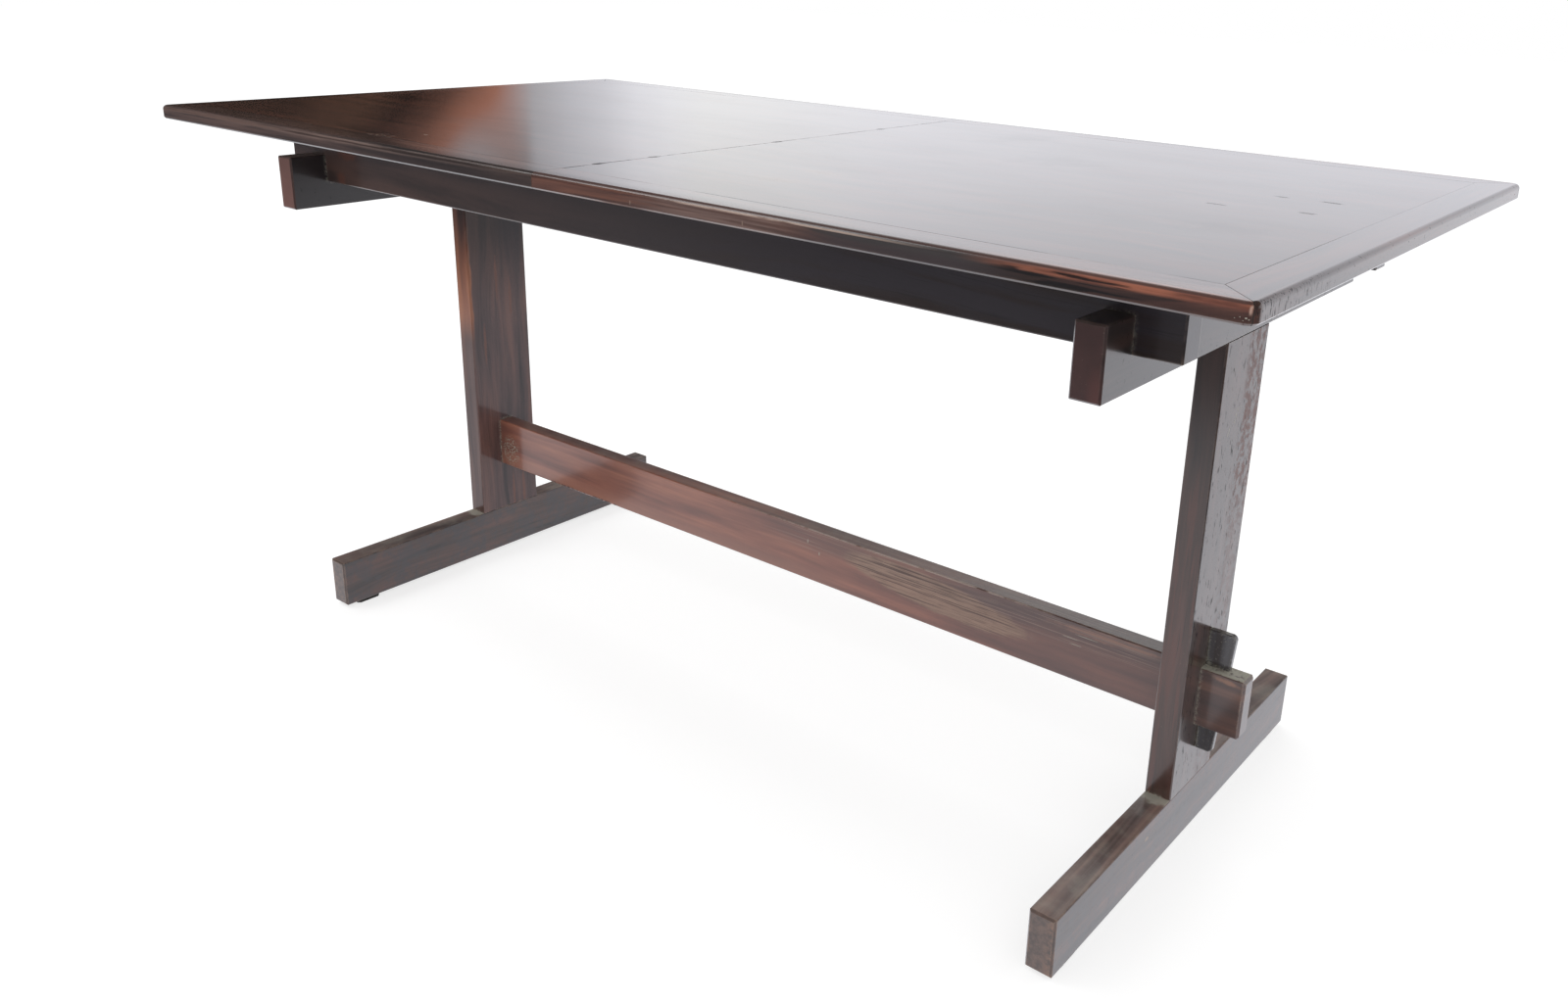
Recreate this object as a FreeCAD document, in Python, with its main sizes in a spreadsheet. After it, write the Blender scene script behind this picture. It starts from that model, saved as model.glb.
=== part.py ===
"""Trestle dining table whose top draws apart at the middle, in millimetres.

The table stands on z = 0 with its length along X, and the origin is on the floor under its centre.
Two trestles (foot, upright, bearer) are tied by a stretcher whose through tenons are locked by
wedge keys. Two aprons are halved over the bearers and carry the two leaves of the top.
"""
import FreeCAD, Part
import math
import os
import re
import Sketcher

SIZES = (
    # Table top
    ("table_length", 1600),
    ("table_width", 825),
    ("table_height", 760),
    ("top_thickness", 18),
    ("rail_width", 43),
    ("corner_radius", 11),
    ("edge_radius", 5.5),
    ("under_bevel", 2),
    ("seam_gap", 0.5),
    ("tongue_thickness", 6),
    ("tongue_reach", 8),
    # Dowels that line the two leaves up
    ("dowel_diameter", 8),
    ("dowel_length", 36),
    ("dowel_play", 0.6),
    ("dowel_bevel", 1),
    ("dowel_edge", 84.5),
    ("dowel_count", 4),
    # Aprons and their halving with the bearers
    ("apron_height", 80),
    ("apron_thickness", 32),
    ("apron_spread", 562),
    ("apron_overrun", 48.5),
    ("apron_end_bevel", 1.5),
    ("halving_overlap", 37.5),
    # Trestles
    ("trestle_spread", 1259),
    ("member_thickness", 32),
    ("arris_radius", 1.8),
    ("bearer_height", 72.5),
    ("bearer_stub", 53),
    ("bearer_end_bevel", 2),
    ("upright_width", 112),
    ("stub_tenon_thickness", 12),
    ("stub_tenon_width", 90),
    ("stub_tenon_depth", 42),
    ("glue_space", 0.6),
    ("foot_length", 640),
    ("foot_height", 72),
    ("foot_end_bevel", 2.5),
    ("pad_thickness", 5),
    ("pad_length", 38),
    ("pad_width", 26),
    ("pad_inset", 22),
    ("pad_corner_bevel", 4),
    # Stretcher and the keys that lock it
    ("stretcher_height", 78),
    ("stretcher_thickness", 26),
    ("stretcher_rise", 80),
    ("tenon_shoulder", 2),
    ("tenon_reach", 53.5),
    ("tenon_arris_radius", 1.9),
    ("tenon_end_bevel", 3),
    ("key_length", 156),
    ("key_top_width", 32),
    ("key_foot_width", 20.5),
    ("key_thickness", 8),
    ("key_drop", 37),
    ("key_offset", 3.5),
    ("key_play", 0.3),
    ("key_relief", 4),
    ("key_corner_radius", 6),
    ("key_heel_radius", 2),
    ("key_arris_bevel", 1),
    # Runners under the leaves, and the battens that guide them
    ("leaf_travel", 250),
    ("runner_start", 20),
    ("runner_length", 460),
    ("runner_height", 30),
    ("runner_width", 24),
    ("runner_play", 0.5),
    ("batten_height", 10),
    ("batten_depth", 10),
    ("batten_drop", 15),
    ("batten_inset", 94),
    # Pegs that stop a leaf at full draw
    ("peg_diameter", 10),
    ("peg_seat", 14),
    ("peg_drop", 20),
    ("peg_bevel", 1.5),
    # Screws
    ("screw_head_height", 3),
    ("screw_head_diameter", 8),
    ("screw_core_diameter", 4),
    ("screw_play", 0.2),
    ("screw_well_play", 1),
    ("runner_screw_sink", 12),
    ("runner_screw_length", 30),
    ("runner_screw_margin", 40),
    ("runner_screw_count", 3),
    ("batten_screw_length", 26),
    ("batten_screw_margin", 60),
    ("batten_screw_count", 5),
    ("bearer_screw_sink", 22),
    ("bearer_screw_length", 70),
    # What cuts run past the wood
    ("overrun", 5),
)
HALF_TURN = 180
SCREW_SIDES, PIN_SIDES = 8, 16  # screws, pins and their holes repeat, so they have flat sides
LINE_POINTS = ("line", "start", "end")  # the sketcher numbers these from 0
SKETCH_AXES = ("level", "upright")  # it numbers these from -1 down, and both start at the origin
DRAWN = 1  # what a length is drawn at, before its own is set
NEAR = 0.001  # an edge this close to a plane lies on it
SIDES = (("left", -1), ("right", 1))  # towards -X and +X
ENDS = (("front", -1), ("back", 1))  # towards -Y and +Y

# Sums of the sizes above that more than one piece uses
LEAF_LENGTH = "((table_length - seam_gap) / 2)"
LEAF_START = "(seam_gap / 2)"
HALF_WIDTH = "(table_width / 2)"
FIELD_LENGTH = f"({LEAF_LENGTH} - rail_width)"
FIELD_HALF = f"({HALF_WIDTH} - rail_width)"
TOP_BASE = "(table_height - top_thickness)"
TONGUE_LOW = "((top_thickness - tongue_thickness) / 2)"
TONGUE_HIGH = "((top_thickness + tongue_thickness) / 2)"
APRON_BASE = f"({TOP_BASE} - apron_height)"
APRON_LENGTH = "(trestle_spread + member_thickness + 2 * apron_overrun)"
APRON_LINE = "((apron_spread - apron_thickness) / 2)"
APRON_INNER = "(apron_spread / 2 - apron_thickness)"
BEARER_TOP = f"({APRON_BASE} + halving_overlap)"
BEARER_BASE = f"({BEARER_TOP} - bearer_height)"
BEARER_LENGTH = "(apron_spread + 2 * bearer_stub)"
FOOT_TOP = "(pad_thickness + foot_height)"
UPRIGHT_HEIGHT = f"({BEARER_BASE} - {FOOT_TOP})"
TRESTLE_LINE = "(trestle_spread / 2)"
TRESTLE_OUTER = f"({TRESTLE_LINE} + member_thickness / 2)"
TRESTLE_INNER = f"({TRESTLE_LINE} - member_thickness / 2)"
STRETCHER_LINE = f"({FOOT_TOP} + stretcher_rise + stretcher_height / 2)"
TENON_HEIGHT = "(stretcher_height - 2 * tenon_shoulder)"
KEY_BASE = f"({STRETCHER_LINE} - {TENON_HEIGHT} / 2 - key_drop)"
BATTEN_LINE = f"({TOP_BASE} - batten_drop)"
BATTEN_LENGTH = f"({APRON_LENGTH} - 2 * batten_inset)"
RUNNER_OUTER = f"({APRON_INNER} - runner_play)"
RUNNER_BASE = f"({TOP_BASE} - runner_height)"
WEB_LINE = f"({RUNNER_OUTER} - (runner_width + batten_depth) / 2)"
PEG_LINE = f"({TRESTLE_INNER} - leaf_travel - runner_play - peg_diameter / 2)"
RUNNER_SCREW_START = "(runner_start + runner_screw_margin)"
RUNNER_SCREW_SPAN = "(runner_length - 2 * runner_screw_margin)"
BATTEN_SCREW_SPAN = f"({BATTEN_LENGTH} - 2 * batten_screw_margin)"
BATTEN_SCREW_BITE = "(batten_screw_length - batten_depth + screw_head_height)"
BEARER_SCREW_RISE = "(halving_overlap - bearer_height + bearer_screw_sink + bearer_screw_length)"
SCREW_BORE = "screw_core_diameter + screw_play"
SCREW_WELL = "screw_head_diameter + screw_well_play"
DOWEL_SPAN = f"(2 * {FIELD_HALF} - 2 * dowel_edge)"

doc = FreeCAD.newDocument("trestle_table")
nodes = []


# The sheet and the helpers

def cells(text):
    """The same sum, with each size's name pointing at its cell in the sheet."""
    return re.sub(r"[a-z][a-z_]+", lambda word: "sizes." + word.group(0), text)


def make_sheet():
    """A row for each driving size: its name in words, and its value under its alias."""
    sheet = doc.addObject("Spreadsheet::Sheet", "sizes")
    for row, (alias, value) in enumerate(SIZES, start=1):
        sheet.set(f"A{row}", alias.replace("_", " "))
        sheet.set(f"B{row}", str(value))
        sheet.setAlias(f"B{row}", alias)
    doc.recompute()


def origin_feature(body, role):
    return next(item for item in body.Origin.OriginFeatures if item.Role == role)


def new_body(name):
    return doc.addObject("PartDesign::Body", name)


def place(piece, x, y, z, turn=0):
    """Puts a piece at x, y, z, turned by that angle about its own upright axis."""
    piece.Placement = FreeCAD.Placement(
        FreeCAD.Vector(0, 0, 0), FreeCAD.Rotation(FreeCAD.Vector(0, 0, 1), turn)
    )
    for axis, sum_text in (("x", x), ("y", y), ("z", z)):
        piece.setExpression("Placement.Base." + axis, cells(sum_text))


def keep(piece, name):
    """Names a finished piece, which is then written to a file of that name."""
    piece.Label = name
    nodes.append(piece)


def new_sketch(body, name, plane, start):
    """A sketch on one of the body's own planes, moved by start along the plane's normal.

    The normal is +Z for XY_Plane, -Y for XZ_Plane and +X for YZ_Plane.
    """
    sketch = body.newObject("Sketcher::SketchObject", name + "_sketch")
    sketch.AttachmentSupport = [(origin_feature(body, plane), "")]
    sketch.MapMode = "FlatFace"
    sketch.setExpression("AttachmentOffset.Base.z", cells(start))
    return sketch


def axis_number(name):
    return -1 - SKETCH_AXES.index(name)


def fix_point(sketch, item, point, x, y):
    """Ties one point of the sketch to x and y, each a sum of sizes."""
    origin = axis_number("level"), LINE_POINTS.index("start")
    for kind, sum_text, axis in (("DistanceX", x, "upright"), ("DistanceY", y, "level")):
        if sum_text == "0":
            tie = Sketcher.Constraint("PointOnObject", item, point, axis_number(axis))
            sketch.addConstraint(tie)
        else:
            tie = Sketcher.Constraint(kind, *origin, item, point, DRAWN)
            number = sketch.addConstraint(tie)
            sketch.setExpression(f"Constraints[{number}]", cells(sum_text))


def outline(*corners):
    """Draws the closed polygon through corners, each an x and a y that are sums of sizes."""
    def draw(sketch):
        count = len(corners)
        steps = [2 * math.pi * step / count for step in range(count)]
        points = [FreeCAD.Vector(math.cos(step), math.sin(step), 0) for step in steps]
        for number in range(count):
            line = Part.LineSegment(points[number], points[(number + 1) % count])
            sketch.addGeometry(line, False)
        start, end = LINE_POINTS.index("start"), LINE_POINTS.index("end")
        for number in range(count):
            following = (number + 1) % count
            tie = Sketcher.Constraint("Coincident", number, end, following, start)
            sketch.addConstraint(tie)
        for number, (x, y) in enumerate(corners):
            fix_point(sketch, number, start, x, y)
    return draw


def rectangle(left, right, low, high):
    return outline((left, low), (right, low), (right, high), (left, high))


def centred(width, depth):
    """Draws a rectangle about the sketch's origin."""
    return rectangle(f"-{width} / 2", f"{width} / 2", f"-{depth} / 2", f"{depth} / 2")


def many_sided(x, y, diameter, sides=SCREW_SIDES):
    """Draws the regular polygon that stands for a circle of that diameter about x and y."""
    turns = [math.pi * (2 * side + 1) / sides for side in range(sides)]
    return outline(*(
        (
            f"{x} + ({math.cos(turn):.6f}) * ({diameter}) / 2",
            f"{y} + ({math.sin(turn):.6f}) * ({diameter}) / 2",
        )
        for turn in turns
    ))


def pad(body, name, plane, draw, length, start="0", both_ways=False):
    """Adds wood: the drawn shape, length long from start, or half each way about start."""
    sketch = new_sketch(body, name, plane, start)
    draw(sketch)
    feature = body.newObject("PartDesign::Pad", name)
    feature.Profile = sketch
    feature.SideType = "Symmetric" if both_ways else "One side"
    feature.setExpression("Length", cells(length))
    body.Tip = feature
    return feature


def cut(body, name, plane, draw, depth, start="0", both_ways=False):
    """Takes wood away: the drawn shape, depth deep along the plane's normal from start."""
    doc.recompute()
    before = body.Shape.Volume
    sketch = new_sketch(body, name, plane, start)
    draw(sketch)
    feature = body.newObject("PartDesign::Pocket", name)
    feature.Profile = sketch
    feature.SideType = "Symmetric" if both_ways else "One side"
    feature.Reversed = not both_ways
    feature.setExpression("Length", cells(depth))
    body.Tip = feature
    doc.recompute()
    if not body.Shape.Volume < before:
        raise RuntimeError(f"{body.Name}: {name} took nothing away")
    return feature


def repeat(body, name, features, axis, span, count):
    """Repeats features along one of the body's axes: count in all, evenly over span."""
    pattern = body.newObject("PartDesign::LinearPattern", name)
    pattern.Originals = features
    pattern.Direction = (origin_feature(body, axis), [""])
    pattern.setExpression("Length", cells(span))
    pattern.setExpression("Occurrences", cells(count))
    body.Tip = pattern
    return pattern


def repeat_across(pattern, axis, span, count):
    """Repeats a pattern's whole row along a second axis too."""
    body = pattern.getParentGeoFeatureGroup()
    pattern.Direction2 = (origin_feature(body, axis), [""])
    pattern.setExpression("Length2", cells(span))
    pattern.setExpression("Occurrences2", cells(count))


def dress_edges(body, kind, name, size, chosen):
    """A fillet or chamfer of that size on each edge that chosen picks by its box."""
    doc.recompute()
    base = body.Tip
    edges = [
        f"Edge{number}"
        for number, edge in enumerate(base.Shape.Edges, start=1)
        if chosen(edge.BoundBox)
    ]
    if not edges:
        raise RuntimeError(f"{body.Name}: {name} finds no edge")
    feature = body.newObject("PartDesign::" + kind, name)
    feature.Base = (base, edges)
    feature.setExpression("Radius" if kind == "Fillet" else "Size", cells(size))
    body.Tip = feature
    return feature


def runs_along_x(box):
    return box.YLength < NEAR and box.ZLength < NEAR


def runs_along_y(box):
    return box.XLength < NEAR and box.ZLength < NEAR


def runs_along_z(box):
    return box.XLength < NEAR and box.YLength < NEAR


def dress_x_bar(body, end_bevel, radius):
    """Bevels round the two ends of a bar that lies along X, and rounds its long arrises."""
    dress_edges(body, "Chamfer", "end_bevels", end_bevel, lambda box: box.XLength < NEAR)
    dress_edges(body, "Fillet", "arrises", radius, runs_along_x)


def dress_y_bar(body, end_bevel, radius):
    """Bevels round the two ends of a bar that lies along Y, and rounds its long arrises."""
    dress_edges(body, "Chamfer", "end_bevels", end_bevel, lambda box: box.YLength < NEAR)
    dress_edges(body, "Fillet", "arrises", radius, runs_along_y)


# The two leaves of the top

def make_leaf_blank():
    """One leaf as a plain board with its edges shaped, from which its rails are taken."""
    body = new_body("leaf_blank")
    board = rectangle("0", LEAF_LENGTH, f"-{HALF_WIDTH}", HALF_WIDTH)
    pad(body, "board", "XY_Plane", board, "top_thickness")
    dress_edges(
        body, "Fillet", "corners", "corner_radius",
        lambda box: runs_along_z(box) and box.XMin > NEAR,
    )
    dress_edges(
        body, "Fillet", "upper_edge", "edge_radius",
        lambda box: box.ZMin > NEAR and box.ZLength < NEAR and box.XMax > NEAR,
    )
    dress_edges(
        body, "Chamfer", "lower_edge", "under_bevel",
        lambda box: box.ZMax < NEAR and box.XMax > NEAR,
    )
    return body


def make_long_rail_stock(name, side):
    """The grooved board that a front (side -1) or back (side 1) rail is taken from."""
    body = new_body(name)
    shape = outline(
        ("-overrun", f"{side} * {FIELD_HALF}"),
        (FIELD_LENGTH, f"{side} * {FIELD_HALF}"),
        (f"{LEAF_LENGTH} + overrun", f"{side} * ({HALF_WIDTH} + overrun)"),
        ("-overrun", f"{side} * ({HALF_WIDTH} + overrun)"),
    )
    pad(body, "board", "XY_Plane", shape, "top_thickness + 2 * overrun", start="-overrun")
    groove = rectangle(
        f"{side} * ({FIELD_HALF} - overrun)", f"{side} * ({FIELD_HALF} + tongue_reach)",
        TONGUE_LOW, TONGUE_HIGH,
    )
    cut(body, "groove", "YZ_Plane", groove, f"{LEAF_LENGTH} + 2 * overrun", start="-overrun")
    return body


def make_end_rail_stock():
    """The grooved board that an end rail is taken from."""
    body = new_body("end_rail_stock")
    shape = outline(
        (FIELD_LENGTH, f"-{FIELD_HALF}"),
        (f"{LEAF_LENGTH} + overrun", f"-({HALF_WIDTH} + overrun)"),
        (f"{LEAF_LENGTH} + overrun", f"{HALF_WIDTH} + overrun"),
        (FIELD_LENGTH, FIELD_HALF),
    )
    pad(body, "board", "XY_Plane", shape, "top_thickness + 2 * overrun", start="-overrun")
    groove = rectangle(
        f"{FIELD_LENGTH} - overrun", f"{FIELD_LENGTH} + tongue_reach", TONGUE_LOW, TONGUE_HIGH,
    )
    cut(body, "groove", "XZ_Plane", groove, "table_width", both_ways=True)
    return body


def make_rail(name, blank, stock, side, turn):
    """One border rail: what its stock and the shaped leaf have in common."""
    rail = doc.addObject("Part::Common", name)
    rail.Base = blank
    rail.Tool = stock
    place(rail, f"{side} * {LEAF_START}", "0", TOP_BASE, turn)
    keep(rail, name)


def make_panel(name, side, turn, hole_diameter, hole_depth):
    """The field of one leaf: its tongue, the dowel holes in its seam edge and its screw holes."""
    body = new_body(name)
    field = rectangle("0", FIELD_LENGTH, f"-{FIELD_HALF}", FIELD_HALF)
    pad(body, "field", "XY_Plane", field, "top_thickness")
    tongue = rectangle(
        "0", f"{FIELD_LENGTH} + tongue_reach",
        f"-({FIELD_HALF} + tongue_reach)", f"{FIELD_HALF} + tongue_reach",
    )
    pad(body, "tongue", "XY_Plane", tongue, "tongue_thickness", start=TONGUE_LOW)
    hole = cut(
        body, "dowel_hole", "YZ_Plane",
        many_sided(f"-{DOWEL_SPAN} / 2", "top_thickness / 2", hole_diameter, PIN_SIDES),
        hole_depth,
    )
    repeat(body, "dowel_holes", [hole], "Y_Axis", DOWEL_SPAN, "dowel_count")
    pilot = cut(
        body, "pilot", "XY_Plane",
        many_sided(f"{RUNNER_SCREW_START} - {LEAF_START}", f"-{WEB_LINE}", SCREW_BORE),
        "runner_screw_length + runner_screw_sink - runner_height + screw_play",
    )
    pilots = repeat(
        body, "pilots", [pilot], "X_Axis", RUNNER_SCREW_SPAN, "runner_screw_count",
    )
    repeat_across(pilots, "Y_Axis", f"2 * {WEB_LINE}", "2")
    place(body, f"{side} * {LEAF_START}", "0", TOP_BASE, turn)
    keep(body, name)


def make_dowels():
    """The dowels glued into the left leaf, which enter the right leaf at the seam."""
    body = new_body("seam_dowels")
    body.AllowCompound = True
    dowel = pad(
        body, "dowel", "YZ_Plane", many_sided("0", "0", "dowel_diameter", PIN_SIDES),
        "dowel_length", both_ways=True,
    )
    repeat(body, "row", [dowel], "Y_Axis", DOWEL_SPAN, "dowel_count")
    dress_edges(body, "Chamfer", "end_bevels", "dowel_bevel", lambda box: box.XLength < NEAR)
    place(body, "0", f"-{DOWEL_SPAN} / 2", f"{TOP_BASE} + top_thickness / 2")
    keep(body, "seam_dowels")


def make_runner(name, hand, turn):
    """A runner under a leaf, grooved on its outer side for the batten of the apron beside it.

    The hand is -1 for the runner on the -Y side before the leaf's turn, and 1 for the other.
    """
    body = new_body(name)
    outer = f"{hand} * {RUNNER_OUTER}"
    groove_floor = f"{hand} * ({RUNNER_OUTER} - batten_depth)"
    inner = f"{hand} * ({RUNNER_OUTER} - runner_width)"
    groove_low = "-(batten_drop + batten_height / 2 + runner_play)"
    groove_high = "-(batten_drop - batten_height / 2 - runner_play)"
    section = outline(
        (inner, "-runner_height"), (outer, "-runner_height"),
        (outer, groove_low), (groove_floor, groove_low),
        (groove_floor, groove_high), (outer, groove_high),
        (outer, "0"), (inner, "0"),
    )
    pad(body, "bar", "YZ_Plane", section, "runner_length", start="runner_start")
    web = f"{hand} * {WEB_LINE}"
    for part, diameter, depth in (
        ("well", SCREW_WELL, "runner_screw_sink"), ("bore", SCREW_BORE, "runner_height"),
    ):
        hole = cut(
            body, part, "XY_Plane", many_sided(RUNNER_SCREW_START, web, diameter),
            depth, start="-runner_height",
        )
        repeat(body, part + "s", [hole], "X_Axis", RUNNER_SCREW_SPAN, "runner_screw_count")
    cut(
        body, "peg_hole", "XY_Plane", many_sided(PEG_LINE, web, "peg_diameter", PIN_SIDES),
        "peg_seat", start="-runner_height",
    )
    place(body, "0", "0", TOP_BASE, turn)
    keep(body, name)


def make_pegs(name, side, turn):
    """The two pegs of a leaf, which meet the bearer when the leaf is drawn right out."""
    body = new_body(name)
    body.AllowCompound = True
    peg = pad(
        body, "peg", "XY_Plane", many_sided("0", "0", "peg_diameter", PIN_SIDES),
        "peg_drop + peg_seat", start="-peg_drop",
    )
    repeat(body, "pair", [peg], "Y_Axis", f"2 * {WEB_LINE}", "2")
    dress_edges(body, "Chamfer", "peg_bevels", "peg_bevel", lambda box: box.ZMax < -NEAR)
    place(body, f"{side} * {PEG_LINE}", f"-{side} * {WEB_LINE}", RUNNER_BASE, turn)
    keep(body, name)


# Screws

def new_screw(body, plane, head_start, shank_start, length):
    """A screw whose head and shank start there on the plane's normal: both, to be repeated."""
    body.AllowCompound = True
    return [
        pad(
            body, "head", plane, many_sided("0", "0", "screw_head_diameter"),
            "screw_head_height", start=head_start,
        ),
        pad(
            body, "shank", plane, many_sided("0", "0", "screw_core_diameter"),
            length, start=shank_start,
        ),
    ]


def new_upward_screw(body, length):
    """A screw that goes up from the seat under its head, which is at the origin."""
    return new_screw(body, "XY_Plane", "-screw_head_height", "0", length)


def make_runner_screws(name, side, turn):
    """The screws that hold the two runners of a leaf up against its panel."""
    body = new_body(name)
    screw = new_upward_screw(body, "runner_screw_length")
    grid = repeat(body, "grid", screw, "X_Axis", RUNNER_SCREW_SPAN, "runner_screw_count")
    repeat_across(grid, "Y_Axis", f"2 * {WEB_LINE}", "2")
    place(
        body, f"{side} * {RUNNER_SCREW_START}", f"-{side} * {WEB_LINE}",
        f"{RUNNER_BASE} + runner_screw_sink", turn,
    )
    keep(body, name)


def make_batten_screws(name, side, turn):
    """The screws that hold a batten to its apron."""
    body = new_body(name)
    screw = new_screw(body, "XZ_Plane", "0", "-batten_screw_length", "batten_screw_length")
    repeat(body, "row", screw, "X_Axis", BATTEN_SCREW_SPAN, "batten_screw_count")
    place(
        body, f"-{side} * {BATTEN_SCREW_SPAN} / 2",
        f"{side} * ({APRON_INNER} - batten_depth + screw_head_height)", BATTEN_LINE, turn,
    )
    keep(body, name)


def make_bearer_screws(name, side):
    """The screws that go up through a bearer into the two aprons."""
    body = new_body(name)
    screw = new_upward_screw(body, "bearer_screw_length")
    repeat(body, "pair", screw, "Y_Axis", f"2 * {APRON_LINE}", "2")
    place(
        body, f"{side} * {TRESTLE_LINE}", f"-{APRON_LINE}", f"{BEARER_BASE} + bearer_screw_sink",
    )
    keep(body, name)


# Aprons and battens

def make_apron(name, side, turn):
    """A long apron, notched from below over each bearer, with the screws' pilot holes."""
    body = new_body(name)
    pad(body, "bar", "XY_Plane", centred(APRON_LENGTH, "apron_thickness"), "apron_height")
    dress_x_bar(body, "apron_end_bevel", "arris_radius")
    notch_shape = rectangle(
        f"-{TRESTLE_OUTER}", f"-{TRESTLE_INNER}",
        "-apron_thickness / 2 - overrun", "apron_thickness / 2 + overrun",
    )
    notch = cut(
        body, "notch", "XY_Plane", notch_shape, "halving_overlap / 2 + overrun", start="-overrun",
    )
    repeat(body, "notches", [notch], "X_Axis", "trestle_spread", "2")
    pilot = cut(
        body, "bearer_pilot", "XY_Plane", many_sided(f"-{TRESTLE_LINE}", "0", SCREW_BORE),
        f"{BEARER_SCREW_RISE} + screw_play",
    )
    repeat(body, "bearer_pilots", [pilot], "X_Axis", "trestle_spread", "2")
    pilot = cut(
        body, "batten_pilot", "XZ_Plane",
        many_sided(f"-{BATTEN_SCREW_SPAN} / 2", "apron_height - batten_drop", SCREW_BORE),
        f"{BATTEN_SCREW_BITE} + screw_play + overrun",
        start=f"apron_thickness / 2 - {BATTEN_SCREW_BITE} - screw_play",
    )
    repeat(body, "batten_pilots", [pilot], "X_Axis", BATTEN_SCREW_SPAN, "batten_screw_count")
    place(body, "0", f"{side} * {APRON_LINE}", APRON_BASE, turn)
    keep(body, name)


def make_batten(name, side, turn):
    """The guide batten along the inner face of an apron, which carries the runners' grooves."""
    body = new_body(name)
    plan = rectangle(f"-{BATTEN_LENGTH} / 2", f"{BATTEN_LENGTH} / 2", "0", "batten_depth")
    pad(body, "bar", "XY_Plane", plan, "batten_height", both_ways=True)
    for part, diameter, start, depth in (
        ("well", SCREW_WELL, "-screw_head_height", "screw_head_height + overrun"),
        ("bore", SCREW_BORE, "-batten_depth - overrun", "batten_depth + 2 * overrun"),
    ):
        hole = cut(
            body, part, "XZ_Plane", many_sided(f"-{BATTEN_SCREW_SPAN} / 2", "0", diameter),
            depth, start=start,
        )
        repeat(body, part + "s", [hole], "X_Axis", BATTEN_SCREW_SPAN, "batten_screw_count")
    place(body, "0", f"{side} * ({APRON_INNER} - batten_depth)", BATTEN_LINE, turn)
    keep(body, name)


# Trestles

def make_bearer(name, side):
    """A bearer, notched from above for each apron and mortised from below for its upright."""
    body = new_body(name)
    pad(body, "bar", "XY_Plane", centred("member_thickness", BEARER_LENGTH), "bearer_height")
    dress_y_bar(body, "bearer_end_bevel", "arris_radius")
    notch_shape = rectangle(
        "-member_thickness / 2 - overrun", "member_thickness / 2 + overrun",
        "-apron_spread / 2", f"-{APRON_INNER}",
    )
    notch = cut(
        body, "notch", "XY_Plane", notch_shape, "halving_overlap / 2 + overrun",
        start="bearer_height - halving_overlap / 2",
    )
    repeat(body, "notches", [notch], "Y_Axis", f"2 * {APRON_LINE}", "2")
    for part, diameter, depth in (
        ("well", SCREW_WELL, "bearer_screw_sink"), ("bore", SCREW_BORE, "bearer_height"),
    ):
        hole = cut(body, part, "XY_Plane", many_sided("0", f"-{APRON_LINE}", diameter), depth)
        repeat(body, part + "s", [hole], "Y_Axis", f"2 * {APRON_LINE}", "2")
    cut(
        body, "mortise", "XY_Plane", centred("stub_tenon_thickness", "stub_tenon_width"),
        "stub_tenon_depth + glue_space",
    )
    place(body, f"{side} * {TRESTLE_LINE}", "0", BEARER_BASE)
    keep(body, name)


def make_upright(name, side):
    """An upright, with a stub tenon at each end and a through mortise for the stretcher."""
    body = new_body(name)
    pad(body, "post", "XY_Plane", centred("member_thickness", "upright_width"), UPRIGHT_HEIGHT)
    dress_edges(body, "Fillet", "arrises", "arris_radius", runs_along_z)
    pad(
        body, "tenons", "XY_Plane", centred("stub_tenon_thickness", "stub_tenon_width"),
        f"{UPRIGHT_HEIGHT} + 2 * stub_tenon_depth", start="-stub_tenon_depth",
    )
    middle = f"({STRETCHER_LINE} - {FOOT_TOP})"
    mortise = rectangle(
        "-stretcher_thickness / 2", "stretcher_thickness / 2",
        f"{middle} - {TENON_HEIGHT} / 2", f"{middle} + {TENON_HEIGHT} / 2",
    )
    cut(
        body, "stretcher_mortise", "YZ_Plane", mortise, "member_thickness + 2 * overrun",
        both_ways=True,
    )
    place(body, f"{side} * {TRESTLE_LINE}", "0", FOOT_TOP)
    keep(body, name)


def make_foot(name, side):
    """A foot, mortised from above for its upright and bevelled round both ends."""
    body = new_body(name)
    pad(body, "bar", "XY_Plane", centred("member_thickness", "foot_length"), "foot_height")
    dress_y_bar(body, "foot_end_bevel", "arris_radius")
    cut(
        body, "mortise", "XY_Plane", centred("stub_tenon_thickness", "stub_tenon_width"),
        "stub_tenon_depth + glue_space + overrun",
        start="foot_height - stub_tenon_depth - glue_space",
    )
    place(body, f"{side} * {TRESTLE_LINE}", "0", "pad_thickness")
    keep(body, name)


def make_foot_pad(name, side, end):
    """One of the small pads that the feet stand on."""
    body = new_body(name)
    pad(body, "block", "XY_Plane", centred("pad_width", "pad_length"), "pad_thickness")
    dress_edges(body, "Chamfer", "corners", "pad_corner_bevel", runs_along_z)
    line = f"{end} * (foot_length / 2 - pad_inset - pad_length / 2)"
    place(body, f"{side} * {TRESTLE_LINE}", line, "0")
    keep(body, name)


# Stretcher and keys

def key_outline(side, x, z, relief):
    """Draws a key's tapered outline, with its heel at x and z, on that side of the table."""
    heel = f"{side} * ({x} - {relief})"
    return outline(
        (heel, z), (f"{side} * ({x} + key_foot_width)", z),
        (f"{side} * ({x} + key_top_width)", f"{z} + key_length"),
        (heel, f"{z} + key_length"),
    )


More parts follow.
